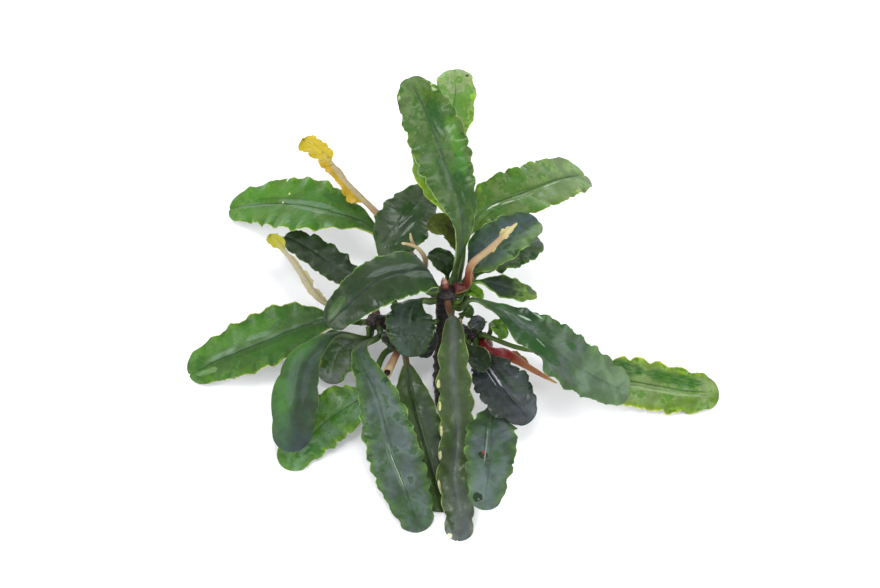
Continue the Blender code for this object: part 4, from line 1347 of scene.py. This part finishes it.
def spot_mark():
    """A round spot with a ragged rim, at a place along and across a leaf in millimetres."""
    name = "leaf spot"
    if name in bpy.data.node_groups:
        return bpy.data.node_groups[name]
    inputs = {"Place": (0.0, 0.0, 0.0), "Along": 0.0, "Across": 0.0, "Radius": 0.5}
    tree, wires, given, out = new_group(name, inputs, ("Mask",))
    along, rib, _ = wires.split(given["Place"])
    radius = given["Radius"]
    spot = wires.join(along, rib)
    centre = wires.join(given["Along"], given["Across"])
    gap = wires.add("ShaderNodeVectorMath", {0: spot, 1: centre}, 1, operation="DISTANCE")
    gap = wires.times_plus(wires.minus(wires.noise(spot, 0.9), 0.5), wires.times(radius, 1.1), gap)
    wires.fill(out, {"Mask": wires.step(gap, wires.plus(radius, 0.12), wires.minus(radius, 0.12))})
    return tree


def streak_mark():
    """A soft straight streak from one place on a leaf to another, broken into fibres, in millimetres."""
    name = "leaf streak"
    if name in bpy.data.node_groups:
        return bpy.data.node_groups[name]
    inputs = {
        "Place": (0.0, 0.0, 0.0), "From": 0.0, "To": 1.0, "Across From": 0.0, "Across To": 0.0,
        "Width": 0.3,
    }
    tree, wires, given, out = new_group(name, inputs, ("Mask",))
    along, rib, _ = wires.split(given["Place"])
    start, across = given["From"], given["Across From"]
    run = wires.divide(wires.minus(along, start), wires.minus(given["To"], start))
    lane = wires.times_plus(run, wires.minus(given["Across To"], across), across)
    ragged = wires.times_plus(wires.minus(wires.noise(wires.join(along, rib), 1.3), 0.5), 0.5, rib)
    gap = wires.absolute(wires.minus(ragged, lane))
    middle = wires.absolute(wires.minus(run, 0.5))
    width = wires.times(given["Width"], wires.step(middle, 0.52, 0.25))
    mask = wires.step(gap, width, wires.times(width, 0.4))
    mask = wires.times(mask, wires.step(middle, 0.52, 0.36))
    fibres = wires.noise(wires.join(wires.times(along, 0.3), wires.times(rib, 1.8)), 1.5)
    broken = wires.times_plus(wires.step(fibres, 0.38, 0.6), 0.5, 0.5)
    wires.fill(out, {"Mask": wires.times(mask, broken)})
    return tree


def new_material(name):
    """A material with its wiring and its Principled shader."""
    material = bpy.data.materials.new(name)
    material.use_nodes = True
    return material, Wiring(material.node_tree), material.node_tree.nodes["Principled BSDF"]


def leaf_material(leaf, look):
    """The leaf skin with this leaf's own greens and markings, and its spots and streaks."""
    colours = bpy.context.scene.plant_colours
    material, wires, shader = new_material(leaf.name.replace("_", " ") + " skin")
    _, length, _, _ = leaf_spine(leaf)
    half = leaf.width / 2
    place = wires.reading("place", "Vector")
    values = {
        "Place": place, "Face": wires.reading("face"), "Crest": wires.reading("crest"),
        "Seed": leaf.seed * 3.7, "Blade Start": leaf.stalk_share * length, "Length": length,
        "Roughness": colours.roughness, "Under Colour": opaque(colours.underside), **look.sockets(),
    }
    for kind in ("blade", "bloom", "wet", "edge"):
        tone = np.array(getattr(colours, f"{look.finish}_{kind}")) * look.tint
        values[f"{kind.title()} Colour"] = opaque(tone)
    skin = wires.group(leaf_skin(), values)
    colour = skin["Color"]
    # Some spots and streaks are painted highlights, sheen or shade, as noted at their leaves in LOOKS.
    for share, across, radius, spot_colour in look.spots:
        mark = wires.group(spot_mark(), {
            "Place": place, "Along": share * length, "Across": across * half, "Radius": radius,
        })
        colour = wires.mix(mark["Mask"], colour, opaque(spot_colour))
    for start, end, across_from, across_to, width, streak_colour, strength in look.streaks:
        mark = wires.group(streak_mark(), {
            "Place": place, "From": start * length, "To": end * length, "Width": width,
            "Across From": across_from * half, "Across To": across_to * half,
        })
        colour = wires.mix(wires.times(mark["Mask"], strength), colour, opaque(streak_colour))
    bump = wires.add("ShaderNodeBump", {"Height": skin["Height"], "Distance": 0.00025, "Strength": 1.0})
    wires.fill(shader, {
        "Base Color": colour, "Roughness": skin["Roughness"], "Coat Weight": skin["Coat"], "Normal": bump,
        "Coat Roughness": 0.22, "IOR": 1.45, "Specular IOR Level": 0.3,
    })
    return material


def stalk_skin():
    """The skin of a stalk: four colours one after another along it, and brown flecks."""
    name = "stalk skin"
    if name in bpy.data.node_groups:
        return bpy.data.node_groups[name]
    inputs = {
        "Share": 0.0, "Beyond": -1.0, "First": BLACK, "Second": BLACK, "Third": BLACK, "Fourth": BLACK,
        "Second At": 0.25, "Third At": 0.5, "Fourth At": 0.9, "Flap": BLACK, "Flap Share": 0.0,
        "Fleck": BLACK, "Fleck Share": 0.3, "Seed": 0.0,
    }
    tree, wires, given, out = new_group(name, inputs, ("Color", "Roughness", "Height"))
    seed = wires.join(given["Seed"])
    spot = wires.add("ShaderNodeVectorMath", {0: wires.millimetres(), 1: seed}, operation="ADD")
    patches = wires.noise(spot, 0.9, 4.0, 0.6)
    fine = wires.noise(spot, 5.0, 3.0, 0.6)
    second, third, fourth = given["Second At"], given["Third At"], given["Fourth At"]
    wander = wires.times_plus(wires.minus(patches, 0.5), 0.16, given["Share"])
    colour = wires.mix(wires.step(wander, 0.0, second), given["First"], given["Second"])
    colour = wires.mix(wires.step(wander, second, third), colour, given["Third"])
    flap = wires.step(given["Beyond"], -0.12, 0.12)
    colour = wires.mix(wires.times(flap, given["Flap Share"]), colour, given["Flap"])
    colour = wires.mix(wires.step(wander, wires.minus(fourth, 0.12), fourth), colour, given["Fourth"])
    fleck = wires.times(wires.step(patches, 0.56, 0.7), given["Fleck Share"])
    colour = wires.dimmed(wires.mix(fleck, colour, given["Fleck"]), wires.times_plus(fine, 0.6, 0.7))
    rough = wires.times_plus(patches, 0.3, 0.3)
    wires.fill(out, {"Color": colour, "Roughness": rough, "Height": wires.times_plus(fine, 0.5, patches)})
    return tree


def stalk_material(name, length=None):
    """The stalk skin with this stalk's own colours. The length is given for an old stalk's mesh."""
    look = STALK_LOOKS[name]
    material, wires, shader = new_material(name)
    if length is None:
        share, beyond = wires.reading("share"), -1.0
    else:
        along, _, beyond = wires.split(wires.reading("place", "Vector"))
        share = wires.divide(along, length)
    values = {
        "Share": share, "Beyond": beyond, "Flap": opaque(look.flap), "Flap Share": look.flap_share,
        "Fleck": opaque(look.fleck), "Fleck Share": look.fleck_share, "Seed": look.seed,
    }
    for key, tone in zip(("First", "Second", "Third", "Fourth"), look.tones):
        values[key] = opaque(tone)
    for key, stop in zip(("Second At", "Third At", "Fourth At"), look.stops):
        values[key] = stop
    skin = wires.group(stalk_skin(), values)
    bump = wires.add("ShaderNodeBump", {"Height": skin["Height"], "Distance": 0.0002, "Strength": 0.7})
    wires.fill(shader, {
        "Base Color": skin["Color"], "Roughness": skin["Roughness"], "Normal": bump, "Coat Weight": 0.1,
        "Coat Roughness": 0.2, "Specular IOR Level": 0.3,
    })
    return material


def bark_material():
    """Dark rhizome bark: near black, with reddish and greenish patches, flakes and a damp shine."""
    colours = bpy.context.scene.plant_colours
    material, wires, shader = new_material("rhizome bark")
    spot = wires.millimetres()
    broad = wires.noise(spot, 0.35, 4.0, 0.6)
    fine = wires.noise(spot, 2.2, 5.0, 0.65)
    flakes = wires.add("ShaderNodeTexVoronoi", {"Vector": spot, "Scale": 1.3}, feature="DISTANCE_TO_EDGE")
    colour = wires.mix(wires.step(broad, 0.4, 0.65), opaque(colours.bark), opaque(colours.bark_red))
    colour = wires.mix(wires.step(fine, 0.52, 0.7), colour, opaque(colours.bark_green))
    crack = wires.step(flakes, 0.09, 0.0)
    colour = wires.mix(wires.times(crack, 0.7), colour, (0.006, 0.004, 0.004, 1))
    height = wires.times_plus(fine, 0.7, wires.times(crack, -0.6))
    bump = wires.add("ShaderNodeBump", {"Height": height, "Distance": 0.0004, "Strength": 0.8})
    wires.fill(shader, {
        "Base Color": colour, "Roughness": wires.times_plus(fine, 0.4, 0.25), "Normal": bump,
        "Coat Weight": 0.1, "Specular IOR Level": 0.35,
    })
    return material


def finish_piece(piece, node, material):
    """Dresses the piece, ties it to the plant and lets it stand for its CAD node."""
    piece.data.materials.append(material)
    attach(piece, "root")
    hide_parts(node)


def rhizome_rings(stem, stations, turn):
    """Radius of the bark at each station and turn: the stem's radius, raised by ring scars and lumps.

    A scar is a high power of a cosine along the stem, the lumps are two slow wanders over its
    surface, and an arc rounds off each end.
    """
    settings = bpy.context.scene.plant_stems
    _, length = smooth_curve(to_plant(stem.route), SPINE_STEPS)
    radius = np.interp(stations, np.linspace(0, 1, len(stem.radii)), stem.radii)[:, None]
    seed = len(stem.name)
    around = np.cos(turn)[None, :] * 0.5 + np.sin(2 * turn)[None, :] * 0.2
    along = stations[:, None] * length
    beat = along / (settings.ring_spacing / MM) + 0.12 * drift(around, seed)
    scar = np.abs(np.cos(math.pi * beat)) ** SCAR_POWER
    lumps = 0.6 * drift(along / 6 + around, seed + 1) + 0.4 * drift(along / 2.2 - 1.7 * around, seed + 2)
    reach = np.minimum(stations, 1 - stations)[:, None] * length / radius
    dome = np.sqrt(np.clip(1 - np.clip(1 - reach * END_DOME, 0, 1) ** 2, 0, 1))
    raised = settings.ring_height * (scar - SCAR_MEAN) + settings.lumps * lumps
    return radius * (1 + raised) * dome


def grow_rhizome():
    """Makes rings of bark round each part of the rhizome.

    The main part is cut flat at the ground, and the others just outside the low sides of their
    solids.
    """
    bark = bark_material()
    turn = np.linspace(0, 2 * math.pi, STEM_TURNS, endpoint=False)
    for name in ("rhizome_main", "rhizome_left", "rhizome_front", "rhizome_right", "rhizome_back"):
        stem = STEMS[name]
        _, length = smooth_curve(to_plant(stem.route), SPINE_STEPS)
        even = np.linspace(0, 1, max(FEWEST_BARK_STATIONS, round(length * BARK_STATIONS)))
        stations = 0.35 * (0.5 - 0.5 * np.cos(even * math.pi)) + 0.65 * even
        rings = stem_points(stem, stations, rhizome_rings(stem, stations, turn), turn)
        low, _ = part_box(name)
        lowest = [-math.inf, -math.inf, 0] if name == "rhizome_main" else np.array(low) / MM - BARK_BELOW
        piece = stem_mesh(name.replace("rhizome_", "bark_"), [(np.maximum(rings, lowest), stations)])
        finish_piece(piece, name, bark)


def wobbly_tube(stem, stations, radii):
    """Rings whose radius wanders a little, with their shares along the stem."""
    turn = np.linspace(0, 2 * math.pi, STEM_TURNS, endpoint=False)
    wobble = 1 + 0.05 * drift(stations[:, None] * 3 + 0.3 * np.cos(turn)[None, :], len(stem.name))
    return stem_points(stem, stations, radii[:, None] * wobble, turn), stations


def round_ended(stem):
    """A tube along the stem's radii, with an arc at both ends. It starts inside the rhizome."""
    start = -0.12
    stations = np.linspace(start, 1, 40)
    radii = np.interp(stations, np.linspace(0, 1, len(stem.radii)), stem.radii)
    _, length = smooth_curve(to_plant(stem.route), SPINE_STEPS)
    ends = np.minimum(stations - start, 1 - stations) * length / radii
    return wobbly_tube(stem, stations, radii * np.sqrt(np.clip(1 - np.clip(1 - ends, 0, 1) ** 2, 0, 1)))


def scaly_bud(stem):
    """A tube that narrows to a point, with steps where each scale ends."""
    stations = np.linspace(-0.3, 1, 60)
    scales = 1 + 0.22 * ((stations * 3.2 + 0.4) % 1.0 < 0.45) * window(stations, 0.0, 0.85)
    radii = np.interp(stations, [-0.3, 0, 0.4, 0.8, 1], [0, 0.9, 0.82, 0.45, 0])
    return wobbly_tube(stem, stations, radii * scales)


def hollow_end(stem):
    """A tube that turns in at its ragged mouth, which slants, and closes a short way inside."""
    turn = np.linspace(0, 2 * math.pi, STEM_TURNS, endpoint=False)
    outward = np.linspace(-0.2, 1, 34)
    outer = np.interp(outward, [-0.2, -0.12, 0.5, 1], [0, 0.85, 1.0, 1.2])
    inward = 1 - np.array([-0.012, 0.0, 0.03, 0.1, 0.25, 0.32])
    inner = [1.1, 0.9, 0.78, 0.7, 0.6, 0.0]
    stations = np.concatenate([outward, inward])
    rim = (1 + 0.1 * drift(turn / (2 * math.pi), 5, (3, 5, 8)))[None, :]
    radii = np.concatenate([outer, inner])[:, None] * np.where(stations[:, None] > 0.8, rim, 1)
    rings = stem_points(stem, stations, radii, turn)
    middle = rings.mean(axis=1, keepdims=True)
    slant = (rings - middle) @ np.array([0.0, -0.5, 0.87]) * smoothstep((stations[:, None] - 0.55) / 0.4)
    route = to_plant(stem.route)
    rings = rings - 1.1 * slant[..., None] * unit(route[-1] - route[-2])
    return rings, np.concatenate([outward, 1 + np.array([0.0, 0.05, 0.2, 0.5, 0.9, 1.0])])


def grow_bare_stalks():
    """Makes the bud and the bare stalks, each of one or two closed tubes."""
    for node, name, tubes in (
        ("crown_bud", "young_bud", [scaly_bud(STEMS["crown_bud"])]),
        ("cut_stalk", "hollow_stalk", [hollow_end(STEMS["cut_stalk"])]),
        ("brown_stalk", "thin_stalk", [round_ended(STEMS["brown_stalk"])]),
        ("forked_stub", "forked_stub_skin", [round_ended(STEMS["forked_stub"]), round_ended(STUB_PRONG)]),
    ):
        skin = name.removesuffix("_skin").replace("_", " ") + " skin"
        finish_piece(stem_mesh(name, tubes), node, stalk_material(skin))


def grow_leaves(leaves):
    """Makes the blade and stalk of each leaf, with a skin of its own."""
    for leaf in leaves:
        look = LOOKS[leaf.name]
        piece = leaf_mesh(leaf, leaf.name.replace("leaf_", "blade_"), leaf_points)
        finish_piece(piece, leaf.name, leaf_material(leaf, look))


def grow_old_stalks():
    """Makes the rod of each old stalk with the rest of its blade."""
    for stalk in OLD_STALKS:
        _, length, _, _ = leaf_spine(stalk)
        material = stalk_material(stalk.name.replace("_", " ") + " skin", length)
        piece = leaf_mesh(stalk, stalk.name.replace("old_stalk", "withered_stalk"), stalk_points)
        finish_piece(piece, stalk.name, material)


def length_field(name, description, default):
    """A length in metres."""
    return bpy.props.FloatProperty(
        name=name, description=description, default=default, min=0, unit="LENGTH", precision=5
    )


def factor_field(name, description, default, most=1.0):
    """A factor from 0 to most."""
    return bpy.props.FloatProperty(
        name=name, description=description, default=default, min=0, max=most, subtype="FACTOR"
    )


def power_field(name, description, default):
    """A light's power in watts."""
    return bpy.props.FloatProperty(
        name=name, description=description, default=default, min=0, unit="POWER"
    )


def colour_field(name, description, default):
    """A colour of the plant or its stage."""
    return bpy.props.FloatVectorProperty(
        name=name, description=description, default=default, size=3, min=0, max=1, subtype="COLOR"
    )


class PlantLeafSettings(bpy.types.PropertyGroup):
    """Sizes that all blades share."""

    thickness: length_field("Blade thickness", "Thickness of a blade beside its midrib", 0.00056)
    groove: length_field("Midrib groove", "Depth of the groove over a usual midrib", USUAL_GROOVE)
    keel: length_field("Midrib keel", "Height of the midrib under the blade", 0.0004)
    undulation: length_field("Undulation", "Height of the slow swells of a blade", 0.00016)
    ruffle: factor_field("Ruffle", "How far the margins wave, against their usual waves", 0.8, 2.0)


class PlantColours(bpy.types.PropertyGroup):
    """Colours of the leaves, the stalks and the rhizome."""

    # The bloom colours are partly the leaves' grey bloom and partly painted sheen from the lights.
    bright_blade: colour_field("Bright blade", "Blade of a bright leaf", (0.04, 0.115, 0.004))
    bright_bloom: colour_field("Bright bloom", "Bloom on a bright leaf", (0.098, 0.19, 0.068))
    bright_wet: colour_field("Bright blotch", "Smooth blotches of a bright leaf", (0.016, 0.078, 0.001))
    bright_edge: colour_field("Bright edge", "Margin zone of a bright leaf", (0.085, 0.2, 0.008))
    deep_blade: colour_field("Deep blade", "Blade of a deep green leaf", (0.012, 0.035, 0.005))
    deep_bloom: colour_field("Deep bloom", "Bloom on a deep green leaf", (0.046, 0.076, 0.052))
    deep_wet: colour_field("Deep blotch", "Smooth blotches of a deep green leaf", (0.003, 0.017, 0.002))
    deep_edge: colour_field("Deep edge", "Margin zone of a deep green leaf", (0.022, 0.065, 0.006))
    slate_blade: colour_field("Slate blade", "Blade of a slate green leaf", (0.018, 0.05, 0.014))
    slate_bloom: colour_field("Slate bloom", "Bloom on a slate green leaf", (0.058, 0.088, 0.08))
    slate_wet: colour_field("Slate blotch", "Smooth blotches of a slate green leaf", (0.005, 0.03, 0.002))
    slate_edge: colour_field("Slate edge", "Margin zone of a slate green leaf", (0.034, 0.09, 0.014))
    olive_blade: colour_field("Olive blade", "Blade of an olive leaf", (0.042, 0.07, 0.015))
    olive_bloom: colour_field("Olive bloom", "Bloom on an olive leaf", (0.062, 0.084, 0.05))
    olive_wet: colour_field("Olive blotch", "Smooth blotches of an olive leaf", (0.028, 0.056, 0.005))
    olive_edge: colour_field("Olive edge", "Margin zone of an olive leaf", (0.065, 0.11, 0.014))
    dusk_blade: colour_field("Dusk blade", "Blade of a dusky leaf", (0.014, 0.02, 0.015))
    dusk_bloom: colour_field("Dusk bloom", "Bloom on a dusky leaf", (0.042, 0.046, 0.052))
    dusk_wet: colour_field("Dusk blotch", "Smooth blotches of a dusky leaf", (0.006, 0.011, 0.006))
    dusk_edge: colour_field("Dusk edge", "Margin zone of a dusky leaf", (0.014, 0.024, 0.014))
    underside: colour_field("Underside", "Underside of every leaf", (0.06, 0.095, 0.045))
    roughness: factor_field("Leaf roughness", "Roughness of a dry blade", 0.46)
    bark: colour_field("Bark", "Rhizome bark", (0.008, 0.006, 0.006))
    bark_red: colour_field("Reddish bark", "Reddish patches of the bark", (0.022, 0.01, 0.008))
    bark_green: colour_field("Greenish bark", "Greenish patches of the bark", (0.01, 0.013, 0.008))


class PlantStemSettings(bpy.types.PropertyGroup):
    """Sizes of the rhizome's surface."""

    ring_spacing: length_field("Ring spacing", "Distance between the leaf scars round the rhizome", 0.0024)
    ring_height: factor_field("Ring height", "Height of a leaf scar against the radius", 0.1)
    lumps: factor_field("Lumps", "Height of the lumps against the radius", 0.1)


class PlantStageSettings(bpy.types.PropertyGroup):
    """The floor, the lights and the camera."""

    floor_size: length_field("Floor size", "Side of the square floor", 6.0)
    floor_colour: colour_field("Floor colour", "Colour of the floor", (0.9, 0.9, 0.92))
    softbox_power: power_field("Softbox power", "Power of each softbox", 10.0)
    overhead_power: power_field("Overhead power", "Power of the overhead light", 5.0)
    sky: bpy.props.FloatProperty(
        name="Surroundings", description="Brightness of the white surroundings", default=0.7, min=0
    )
    distance: length_field("Camera distance", "Distance from the camera to the plant", 1.2)
    lens: bpy.props.FloatProperty(
        name="Lens", description="Focal length of the camera", default=196.4, min=1,
        subtype="DISTANCE_CAMERA",
    )


# The lights' places and sizes in metres, and the point that they all shine at.
SOFTBOXES = {
    "left softbox": ((-1.0, -0.25, 0.75), (1.0, 0.8)),
    "right softbox": ((1.0, -0.25, 0.75), (1.0, 0.8)),
    "front softbox": ((0.1, -1.3, 0.7), (1.2, 0.5)),
    "back softbox": ((0.0, 1.3, 0.45), (1.2, 0.4)),
}
OVERHEAD_LIGHT = ((0, -0.06, 1.35), (0.4, 0.26))
LIGHT_AIM = (0, 0.02, 0)

# The point that the camera looks at, in millimetres.
CAMERA_AIM = (-0.75, 21.87, 12.6)


def add_area_light(name, place, size, power):
    """Hangs a rectangular light that points at the plant."""
    light = bpy.data.lights.new(name, "AREA")
    light.shape = "RECTANGLE"
    light.size, light.size_y = size
    light.energy = power
    lamp = bpy.data.objects.new(name, light)
    lamp.location = place
    lamp.rotation_euler = (Vector(LIGHT_AIM) - Vector(place)).to_track_quat("-Z", "Y").to_euler()
    bpy.context.scene.collection.objects.link(lamp)


def set_floor():
    """A square of pale paper with a faint mottle."""
    settings = bpy.context.scene.plant_stage
    half = settings.floor_size / 2
    corners = [(-half, -half, 0), (half, -half, 0), (half, half, 0), (-half, half, 0)]
    mesh = bpy.data.meshes.new("floor")
    mesh.from_pydata(corners, [], [(0, 1, 2, 3)])
    floor = bpy.data.objects.new("floor", mesh)
    bpy.context.scene.collection.objects.link(floor)
    material, wires, shader = new_material("pale floor")
    mottle = wires.noise(wires.add("ShaderNodeTexCoord", output="Object"), 3.0)
    lighter = tuple(min(1.0, part * 1.01) for part in settings.floor_colour)
    colour = wires.mix(mottle, opaque(settings.floor_colour), opaque(lighter))
    wires.fill(shader, {"Base Color": colour, "Roughness": 0.7, "Specular IOR Level": 0.2})
    mesh.materials.append(material)


def set_stage():
    """A pale floor, softboxes round the plant and over it, white surroundings and the camera."""
    scene = bpy.context.scene
    settings = scene.plant_stage
    set_floor()
    world = bpy.data.worlds.new("white surroundings")
    scene.world = world
    world.use_nodes = True
    background = world.node_tree.nodes["Background"]
    background.inputs["Color"].default_value = (0.97, 0.98, 1.0, 1)
    background.inputs["Strength"].default_value = settings.sky
    for name, (place, size) in SOFTBOXES.items():
        add_area_light(name, place, size, settings.softbox_power)
    add_area_light("overhead light", *OVERHEAD_LIGHT, settings.overhead_power)

    back = Vector((0, -math.cos(VIEW_HEIGHT), math.sin(VIEW_HEIGHT)))
    camera = bpy.data.objects.new("camera", bpy.data.cameras.new("camera"))
    camera.data.lens = settings.lens
    camera.data.sensor_width = 36
    camera.data.clip_start = 0.05
    camera.data.clip_end = 20
    camera.location = Vector(CAMERA_AIM) * MM + back * settings.distance
    camera.rotation_mode = "QUATERNION"
    camera.rotation_quaternion = (-back).to_track_quat("-Z", "Y")
    scene.collection.objects.link(camera)
    scene.camera = camera
    scene.view_settings.view_transform = "Standard"


class GrowRhizome(bpy.types.Operator):
    """Dresses the creeping rhizome and its forks in bark"""

    bl_idname = "plant.grow_rhizome"
    bl_label = "Rhizome"
    bl_options = {"REGISTER", "UNDO"}

    def execute(self, context):
        grow_rhizome()
        return {"FINISHED"}


class GrowBareStalks(bpy.types.Operator):
    """Makes the young bud, the hollow cut stalk, the thin brown stalk and the forked stub"""

    bl_idname = "plant.grow_bare_stalks"
    bl_label = "Bud and bare stalks"
    bl_options = {"REGISTER", "UNDO"}

    def execute(self, context):
        grow_bare_stalks()
        return {"FINISHED"}


class GrowBackLeaves(bpy.types.Operator):
    """Grows the leaves that reach to the back"""

    bl_idname = "plant.grow_back_leaves"
    bl_label = "Back leaves"
    bl_options = {"REGISTER", "UNDO"}

    def execute(self, context):
        grow_leaves(BACK_LEAVES)
        return {"FINISHED"}


class GrowRightLeaves(bpy.types.Operator):
    """Grows the leaves that reach to the right"""

    bl_idname = "plant.grow_right_leaves"
    bl_label = "Right leaves"
    bl_options = {"REGISTER", "UNDO"}

    def execute(self, context):
        grow_leaves(RIGHT_LEAVES)
        return {"FINISHED"}


class GrowFrontLeaves(bpy.types.Operator):
    """Grows the leaves that reach to the front"""

    bl_idname = "plant.grow_front_leaves"
    bl_label = "Front leaves"
    bl_options = {"REGISTER", "UNDO"}

    def execute(self, context):
        grow_leaves(FRONT_LEAVES)
        return {"FINISHED"}


class GrowLeftLeaves(bpy.types.Operator):
    """Grows the leaves that reach to the left"""

    bl_idname = "plant.grow_left_leaves"
    bl_label = "Left leaves"
    bl_options = {"REGISTER", "UNDO"}

    def execute(self, context):
        grow_leaves(LEFT_LEAVES)
        return {"FINISHED"}


class GrowMiddleLeaves(bpy.types.Operator):
    """Grows the leaves round the crown"""

    bl_idname = "plant.grow_middle_leaves"
    bl_label = "Middle leaves"
    bl_options = {"REGISTER", "UNDO"}

    def execute(self, context):
        grow_leaves(MIDDLE_LEAVES)
        return {"FINISHED"}


class GrowOldStalks(bpy.types.Operator):
    """Makes the withered stalks with what remains of their blades"""

    bl_idname = "plant.grow_old_stalks"
    bl_label = "Old stalks"
    bl_options = {"REGISTER", "UNDO"}

    def execute(self, context):
        grow_old_stalks()
        return {"FINISHED"}


class SetStage(bpy.types.Operator):
    """Sets the floor, the softboxes, the surroundings and the camera"""

    bl_idname = "plant.set_stage"
    bl_label = "Stage"
    bl_options = {"REGISTER", "UNDO"}

    def execute(self, context):
        set_stage()
        return {"FINISHED"}


STEPS = (
    GrowRhizome, GrowBareStalks, GrowBackLeaves, GrowRightLeaves, GrowFrontLeaves,
    GrowLeftLeaves, GrowMiddleLeaves, GrowOldStalks, SetStage,
)


class PlantPanel(bpy.types.Panel):
    """Lists the steps in order, and the sizes and colours that they use"""

    bl_idname = "VIEW3D_PT_plant"
    bl_label = "Bucephalandra"
    bl_space_type = "VIEW_3D"
    bl_region_type = "UI"
    bl_category = "Plant"

    def draw(self, context):
        for step in STEPS:
            self.layout.operator(step.bl_idname)
        for group in GROUPS:
            box = self.layout.box()
            settings = getattr(context.scene, group)
            for field in settings.bl_rna.properties:
                if not field.is_readonly and field.identifier != "name":
                    box.prop(settings, field.identifier)


GROUPS = {
    "plant_leaves": PlantLeafSettings,
    "plant_stems": PlantStemSettings,
    "plant_colours": PlantColours,
    "plant_stage": PlantStageSettings,
}


def register():
    for kind in (*GROUPS.values(), *STEPS, PlantPanel):
        bpy.utils.register_class(kind)
    for name, kind in GROUPS.items():
        setattr(bpy.types.Scene, name, bpy.props.PointerProperty(type=kind))


def unregister():
    for name in GROUPS:
        delattr(bpy.types.Scene, name)
    for kind in (PlantPanel, *reversed(STEPS), *reversed(GROUPS.values())):
        bpy.utils.unregister_class(kind)


def main():
    register()
    bpy.ops.plant.grow_rhizome()
    bpy.ops.plant.grow_bare_stalks()
    bpy.ops.plant.grow_back_leaves()
    bpy.ops.plant.grow_right_leaves()
    bpy.ops.plant.grow_front_leaves()
    bpy.ops.plant.grow_left_leaves()
    bpy.ops.plant.grow_middle_leaves()
    bpy.ops.plant.grow_old_stalks()
    bpy.ops.plant.set_stage()


if __name__ == "__main__":
    main()
